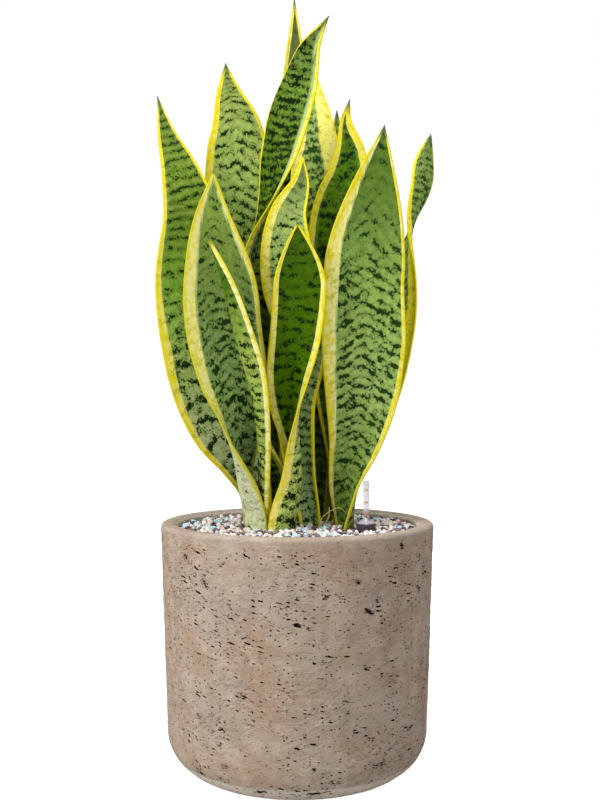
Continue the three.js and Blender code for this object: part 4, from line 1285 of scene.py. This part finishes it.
# Hidden filling: root ball and rhizomes keep their construction shape
def moistSubstrate():
    # peat-free potting mix: dark brown crumbs about 4 mm across
    soil = startMaterial("moistSubstrate")
    place = addNode(soil, "TexCoord", out="Object")
    crumbs = addNode(soil, "TexNoise", {"Vector": place, "Scale": 260.0, "Detail": 5.0,
                                        "Roughness": 0.7}, out="Fac")
    colour = addNode(soil, "MixRGB", {"Fac": crumbs, "Color1": "#1c120c", "Color2": "#4d3626"})
    bump = addNode(soil, "Bump", {"Height": crumbs, "Strength": 0.9, "Distance": 1.5 * mm}, out="Normal")
    return finishMaterial(soil, Base_Color=colour, Roughness=0.95, Normal=bump)


def rhizomeSkin():
    # fleshy orange rhizome: satin skin ringed by old leaf scars about 6 mm apart
    skin = startMaterial("rhizomeSkin")
    place = addNode(skin, "TexCoord", out="Object")
    rings = addNode(skin, "TexWave", {"Vector": place, "Scale": 52.0, "Distortion": 3.0, "Detail": 2.0},
                    out="Fac", bands_direction="Y")
    colour = addNode(skin, "MixRGB", {"Fac": rings, "Color1": "#8a5526", "Color2": "#d69a58"})
    bump = addNode(skin, "Bump", {"Height": rings, "Strength": 0.5, "Distance": 1 * mm}, out="Normal")
    return finishMaterial(skin, Base_Color=colour, Roughness=0.5, Normal=bump)


def dressNode(node, material):
    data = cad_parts[node].data
    data.materials.clear()
    data.materials.append(material)


dressNode("root_ball", moistSubstrate())
rhizome = rhizomeSkin()
for node in ("rhizome_left", "rhizome_centre", "rhizome_right", "rhizome_back"):
    dressNode(node, rhizome)


# Water-level gauge: dark cup, clear bell and tube, red-tipped pointer on a float
gaugeForm = {
    "casingRadius": 7.5,
    "bore": 6.2,
    "casingBottom": 18.0,
    "stopTop": 21.5,
    "stopRadius": 3.5,
    "cupRadius": 9.0,
    "cupBottom": 219.0,
    "cupTop": 231.0,
    "bellRadius": 8.6,
    "bellBottom": 231.1,
    "bellTop": 237.4,
    "tubeRadius": 3.1,
    "wall": 0.7,
    "top": 270.0,
    "markLevels": (250.2, 261.6),
    "markHalfLength": 1.75,
    "markHalfHeight": 0.65,
    "floatRadius": 5.4,
    "floatBottom": 21.8,
    "floatTop": 67.8,
    "socketDepth": 12.0,
    "pointerRadius": 1.3,
    "pointerTop": 240.4,
    "redLength": 4.2,
    "sides": 64,
}


def makeTurned(name, profile, material, replaced, body="planted_pot"):
    # a closed turned piece at the gauge's place: its profile closes on itself, or starts and ends
    # on the axis
    low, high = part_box("gauge_casing")
    middle = (low + high) / 2
    sides = gaugeForm["sides"]
    onAxis = profile[0][0] < 0.001
    rows = profile[1:-1] if onAxis else profile
    points, faces = turnedGrid([(radius * mm, height * mm) for radius, height in rows], sides)
    if onAxis:
        for row, height, flip in ((0, profile[0][1], True), (len(rows) - 1, profile[-1][1], False)):
            centre = len(points)
            points.append((0, 0, height * mm))
            for at in range(sides):
                pair = (row * sides + at, row * sides + (at + 1) % sides)
                faces.append((centre, *(pair[::-1] if flip else pair)))
    else:
        last = (len(rows) - 1) * sides
        for at in range(sides):
            after = (at + 1) % sides
            faces.append((last + at, last + after, after, at))
    points = [(x + middle.x, y + middle.y, z) for x, y, z in points]
    piece = meshPiece(name, points, faces, material, body)
    piece.data.set_sharp_from_angle(angle=math.radians(40))
    for node in replaced:
        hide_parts(node)
    return piece


def darkStyrene():
    # injection-moulded styrene, dark plum grey: smooth, with a sharp soft-box reflection
    plastic = startMaterial("darkStyrene")
    place = addNode(plastic, "TexCoord", out="Object")
    wear = addNode(plastic, "TexNoise", {"Vector": place, "Scale": 500.0, "Detail": 3.0}, out="Fac")
    colour = addNode(plastic, "MixRGB", {"Fac": wear, "Color1": "#3a3138", "Color2": "#564850"})
    roughness = addNode(plastic, "MapRange", {"Value": wear, "To Min": 0.16, "To Max": 0.3})
    return finishMaterial(plastic, Base_Color=colour, Roughness=roughness, IOR=1.55)


def clearStyrene():
    # clear moulded styrene: a pale lavender see-through skin, with painted level marks on the tube
    plastic = startMaterial("clearStyrene")
    place = addNode(plastic, "TexCoord", out="Object")
    height = addNode(plastic, "SeparateXYZ", {"Vector": place}, out="Z")
    low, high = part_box("gauge_casing")
    sideways = addNode(plastic, "SeparateXYZ", {"Vector": place}, out="X")
    sideways = addNode(plastic, "Math", {0: sideways, 1: (low.x + high.x) / 2}, operation="SUBTRACT")
    sideways = addNode(plastic, "Math", {0: sideways}, operation="ABSOLUTE")
    half = gaugeForm["markHalfLength"]
    short = addNode(plastic, "MapRange", {0: sideways, 1: (half + 0.15) * mm, 2: (half - 0.15) * mm})
    mark = 0.0
    half = gaugeForm["markHalfHeight"]
    for level in gaugeForm["markLevels"]:
        away = addNode(plastic, "Math", {0: height, 1: level * mm}, operation="SUBTRACT")
        away = addNode(plastic, "Math", {0: away}, operation="ABSOLUTE")
        line = addNode(plastic, "MapRange", {0: away, 1: (half + 0.1) * mm, 2: (half - 0.1) * mm})
        mark = addNode(plastic, "Math", {0: mark, 1: line}, operation="MAXIMUM")
    mark = addNode(plastic, "Math", {0: mark, 1: short}, operation="MULTIPLY")
    # thin skin, clearest round the tip of the pointer, where the bell goes over into the tube
    bell = addNode(plastic, "MapRange", {0: height, 1: 233.5 * mm, 2: 236.0 * mm, 3: 0.34, 4: 0.06})
    tube = addNode(plastic, "MapRange", {0: height, 1: 240.8 * mm, 2: 242.0 * mm, 4: 0.2})
    skin = addNode(plastic, "Math", {0: bell, 1: tube}, operation="ADD")
    cover = addNode(plastic, "MapRange", {"Value": mark, "To Min": skin, "To Max": 1.0})
    colour = addNode(plastic, "MixRGB", {"Fac": mark, "Color1": "#e9e5f1", "Color2": "#e3b83a"})
    return finishMaterial(plastic, Base_Color=colour, Roughness=0.22, IOR=1.5, Alpha=cover)


def foamFloat():
    # closed-cell foam: white and dull with cells about 1 mm across
    foam = startMaterial("foamFloat")
    place = addNode(foam, "TexCoord", out="Object")
    cells = addNode(foam, "TexVoronoi", {"Vector": place, "Scale": 900.0}, out="Distance")
    colour = addNode(foam, "MixRGB", {"Fac": cells, "Color1": "#f1efe9", "Color2": "#d8d4ca"})
    bump = addNode(foam, "Bump", {"Height": cells, "Strength": 0.4, "Distance": 0.4 * mm}, out="Normal")
    return finishMaterial(foam, Base_Color=colour, Roughness=0.7, Normal=bump)


def paintedPointer():
    # white rod with a red-orange painted tip
    rod = startMaterial("paintedPointer")
    place = addNode(rod, "TexCoord", out="Object")
    height = addNode(rod, "SeparateXYZ", {"Vector": place}, out="Z")
    start = (gaugeForm["pointerTop"] - gaugeForm["redLength"]) * mm
    red = addNode(rod, "MapRange", {0: height, 1: start - 0.1 * mm, 2: start + 0.1 * mm})
    glow = addNode(rod, "MapRange", {0: height, 1: start + 1.4 * mm, 2: start + 2.6 * mm})
    paint = addNode(rod, "MixRGB", {"Fac": glow, "Color1": "#8e1622", "Color2": "#d2622a"})
    colour = addNode(rod, "MixRGB", {"Fac": red, "Color1": "#e8e6e2", "Color2": paint})
    return finishMaterial(rod, Base_Color=colour, Roughness=0.4, IOR=1.5)


def makeGauge():
    form = gaugeForm
    makeTurned("gauge_cup_shell", [
        (form["stopRadius"], form["casingBottom"]), (form["casingRadius"], form["casingBottom"]),
        (form["casingRadius"], form["cupBottom"] - 2), (form["cupRadius"] - 0.4, form["cupBottom"] - 0.3),
        (form["cupRadius"], form["cupBottom"] + 0.4), (form["cupRadius"], form["cupTop"] - 0.5),
        (form["cupRadius"] - 0.5, form["cupTop"]), (form["bore"], form["cupTop"]),
        (form["bore"], form["stopTop"]), (form["stopRadius"], form["stopTop"]),
    ], darkStyrene(), ["gauge_casing"])
    wall, bell, tube = form["wall"], form["bellRadius"], form["tubeRadius"]
    bottom, shoulder = form["bellBottom"], form["bellTop"]
    slope = []
    for t in np.linspace(0, 1, 9).tolist():
        slope.append((bell + (tube - bell) * math.sin(t * math.pi / 2),
                      bottom + 0.5 + (shoulder - bottom - 0.5) * t ** 1.15))
    inside = [(radius - wall, height) for radius, height in slope[::-1]]
    makeTurned("gauge_bell_and_tube", [
        (0, form["top"] - wall), (0.01, form["top"] - wall), (tube - wall, form["top"] - wall),
        *inside, (bell - wall, bottom), (bell, bottom), *slope,
        (tube, form["top"] - 0.6), (tube - 0.25, form["top"] - 0.15), (tube - 0.6, form["top"]),
        (0.01, form["top"]), (0, form["top"]),
    ], clearStyrene(), ["gauge_window"])
    makeTurned("float_body", [
        (0, form["floatBottom"]), (form["floatRadius"] - 1, form["floatBottom"]),
        (form["floatRadius"], form["floatBottom"] + 1), (form["floatRadius"], form["floatTop"] - 1),
        (form["floatRadius"] - 1, form["floatTop"]), (form["pointerRadius"] + 0.3, form["floatTop"]),
        (form["pointerRadius"] + 0.3, form["floatTop"] - form["socketDepth"]),
        (0, form["floatTop"] - form["socketDepth"]),
    ], foamFloat(), ["gauge_float"], "float")
    makeTurned("pointer_rod", [
        (0, form["floatTop"] - form["socketDepth"] + 0.3),
        (form["pointerRadius"], form["floatTop"] - form["socketDepth"] + 0.3),
        (form["pointerRadius"], form["pointerTop"] - 0.5),
        (form["pointerRadius"] - 0.4, form["pointerTop"]), (0, form["pointerTop"]),
    ], paintedPointer(), ["gauge_pointer"], "float")


makeGauge()
print("gauge ready")


# Dry litter on the granulate: torn sheath slivers at the feet of the leaves, and root fibres.
# A sliver has x, y, lean along X and Y, height and width in mm, a fibre the places it runs through.
litter = {
    "seed": 5,
    "sides": 7,
    "sliverFoot": 222,
    "sliverBend": 0.6,
    "slivers": [
        [-15, -27, -2, -1, 9, 1.6], [-13, -30, 1, -2, 6, 1.2], [-2, -33, 1.5, -1, 9, 1.7],
        [0.5, -34, -1, -1.5, 7, 1.3], [-4, -35, -3, -2, 5, 1.2], [31, -20, 1, -1, 9, 1.6],
        [33, -22, 3, -1, 6, 1.1], [3, -34, 3, -1, 6, 1.1], [46, -22, -2, -2, 6, 1.2],
        [12, 52, 2, 1, 8, 1.5], [-28, 46, -2, 2, 8, 1.5], [20, 48, 3, 2, 6, 1.2],
    ],
    "fibres": [
        [[19, -24, 225], [22, -27, 236], [31, -29, 243], [39, -29, 246], [44, -28, 241]],
        [[29, -30, 246], [29.5, -31, 238], [26, -31, 231], [22, -30, 226]],
        [[-22, 44, 225], [-16, 52, 238], [-6, 58, 236], [2, 60, 226]],
    ],
    "fibreWidth": 0.9,
}


def taperedStrand(places, widths, sides):
    # points and faces of a thin closed strand through its places
    places = np.array(places, float)
    points, faces = [], []
    for at, place in enumerate(places):
        before, after = places[max(at - 1, 0)], places[min(at + 1, len(places) - 1)]
        ahead = Vector(after - before).normalized()
        first = ahead.orthogonal().normalized()
        second = ahead.cross(first)
        for turn in np.arange(sides) * (2 * math.pi / sides):
            outward = np.array(first) * math.cos(turn) + np.array(second) * math.sin(turn)
            points.append(place + outward * widths[at] / 2)
    for row in range(len(places) - 1):
        for at in range(sides):
            low, after = row * sides, (at + 1) % sides
            faces.append((low + at, low + after, low + sides + after, low + sides + at))
    last = (len(places) - 1) * sides
    faces.append(tuple(range(sides - 1, -1, -1)))
    faces.append(tuple(range(last, last + sides)))
    return points, faces


def sheathSlivers():
    # torn upright scraps, each with its own small bend
    draws = np.random.RandomState(litter["seed"])
    strands = []
    for x, y, leanX, leanY, height, width in litter["slivers"]:
        t = np.linspace(0, 1, 6)
        bend = draws.uniform(-litter["sliverBend"], litter["sliverBend"])
        places = np.column_stack([x + leanX * t**2 + bend * np.sin(t * 6), y + leanY * t**2,
                                  litter["sliverFoot"] + (height + 2) * t])
        strands.append((places, width * (1.05 - t)))
    return strands


def rootFibres():
    # long loops, smoothed between the places they run through
    strands = []
    for stops in litter["fibres"]:
        stops = np.array(stops, float)
        steps = np.linspace(0, len(stops) - 1, 22)
        smooth = np.column_stack([np.interp(steps, range(len(stops)), stops[:, axis])
                                  for axis in range(3)])
        for _ in range(6):
            smooth[1:-1] = (smooth[:-2] + smooth[1:-1] * 2 + smooth[2:]) / 4
        strands.append((smooth, np.full(len(smooth), litter["fibreWidth"])))
    return strands


def makeLitter():
    for name, strands, material in (
            ("sheath_slivers", sheathSlivers(), drySheath("drySheath", "#5a2a1c", "#a0643c")),
            ("root_fibres", rootFibres(), drySheath("dryFibre", "#8a7a34", "#cdbb62"))):
        points, faces = [], []
        for places, widths in strands:
            strandPoints, strandFaces = taperedStrand(places, widths, litter["sides"])
            faces += [tuple(corner + len(points) for corner in face) for face in strandFaces]
            points += strandPoints
        piece = meshPiece(name, np.array(points) * mm, faces, material)


def drySheath(name, dark, light):
    # dry plant fibre: dull, with streaks about half a millimetre wide and 3 mm long
    sheath = startMaterial(name)
    place = addNode(sheath, "TexCoord", out="Object")
    streaks = addNode(sheath, "VectorMath", {0: place, 1: (1800, 1800, 350)}, operation="MULTIPLY")
    streaks = addNode(sheath, "TexNoise", {"Vector": streaks, "Scale": 1.0, "Detail": 2.0}, out="Fac")
    share = addNode(sheath, "MapRange", {"Value": streaks, "From Min": 0.35, "From Max": 0.65})
    colour = addNode(sheath, "MixRGB", {"Fac": share, "Color1": dark, "Color2": light})
    bump = addNode(sheath, "Bump", {"Height": streaks, "Strength": 0.4, "Distance": 0.3 * mm}, out="Normal")
    return finishMaterial(sheath, Base_Color=colour, Roughness=0.75, Normal=bump, IOR=1.45)


makeLitter()
print("litter ready")
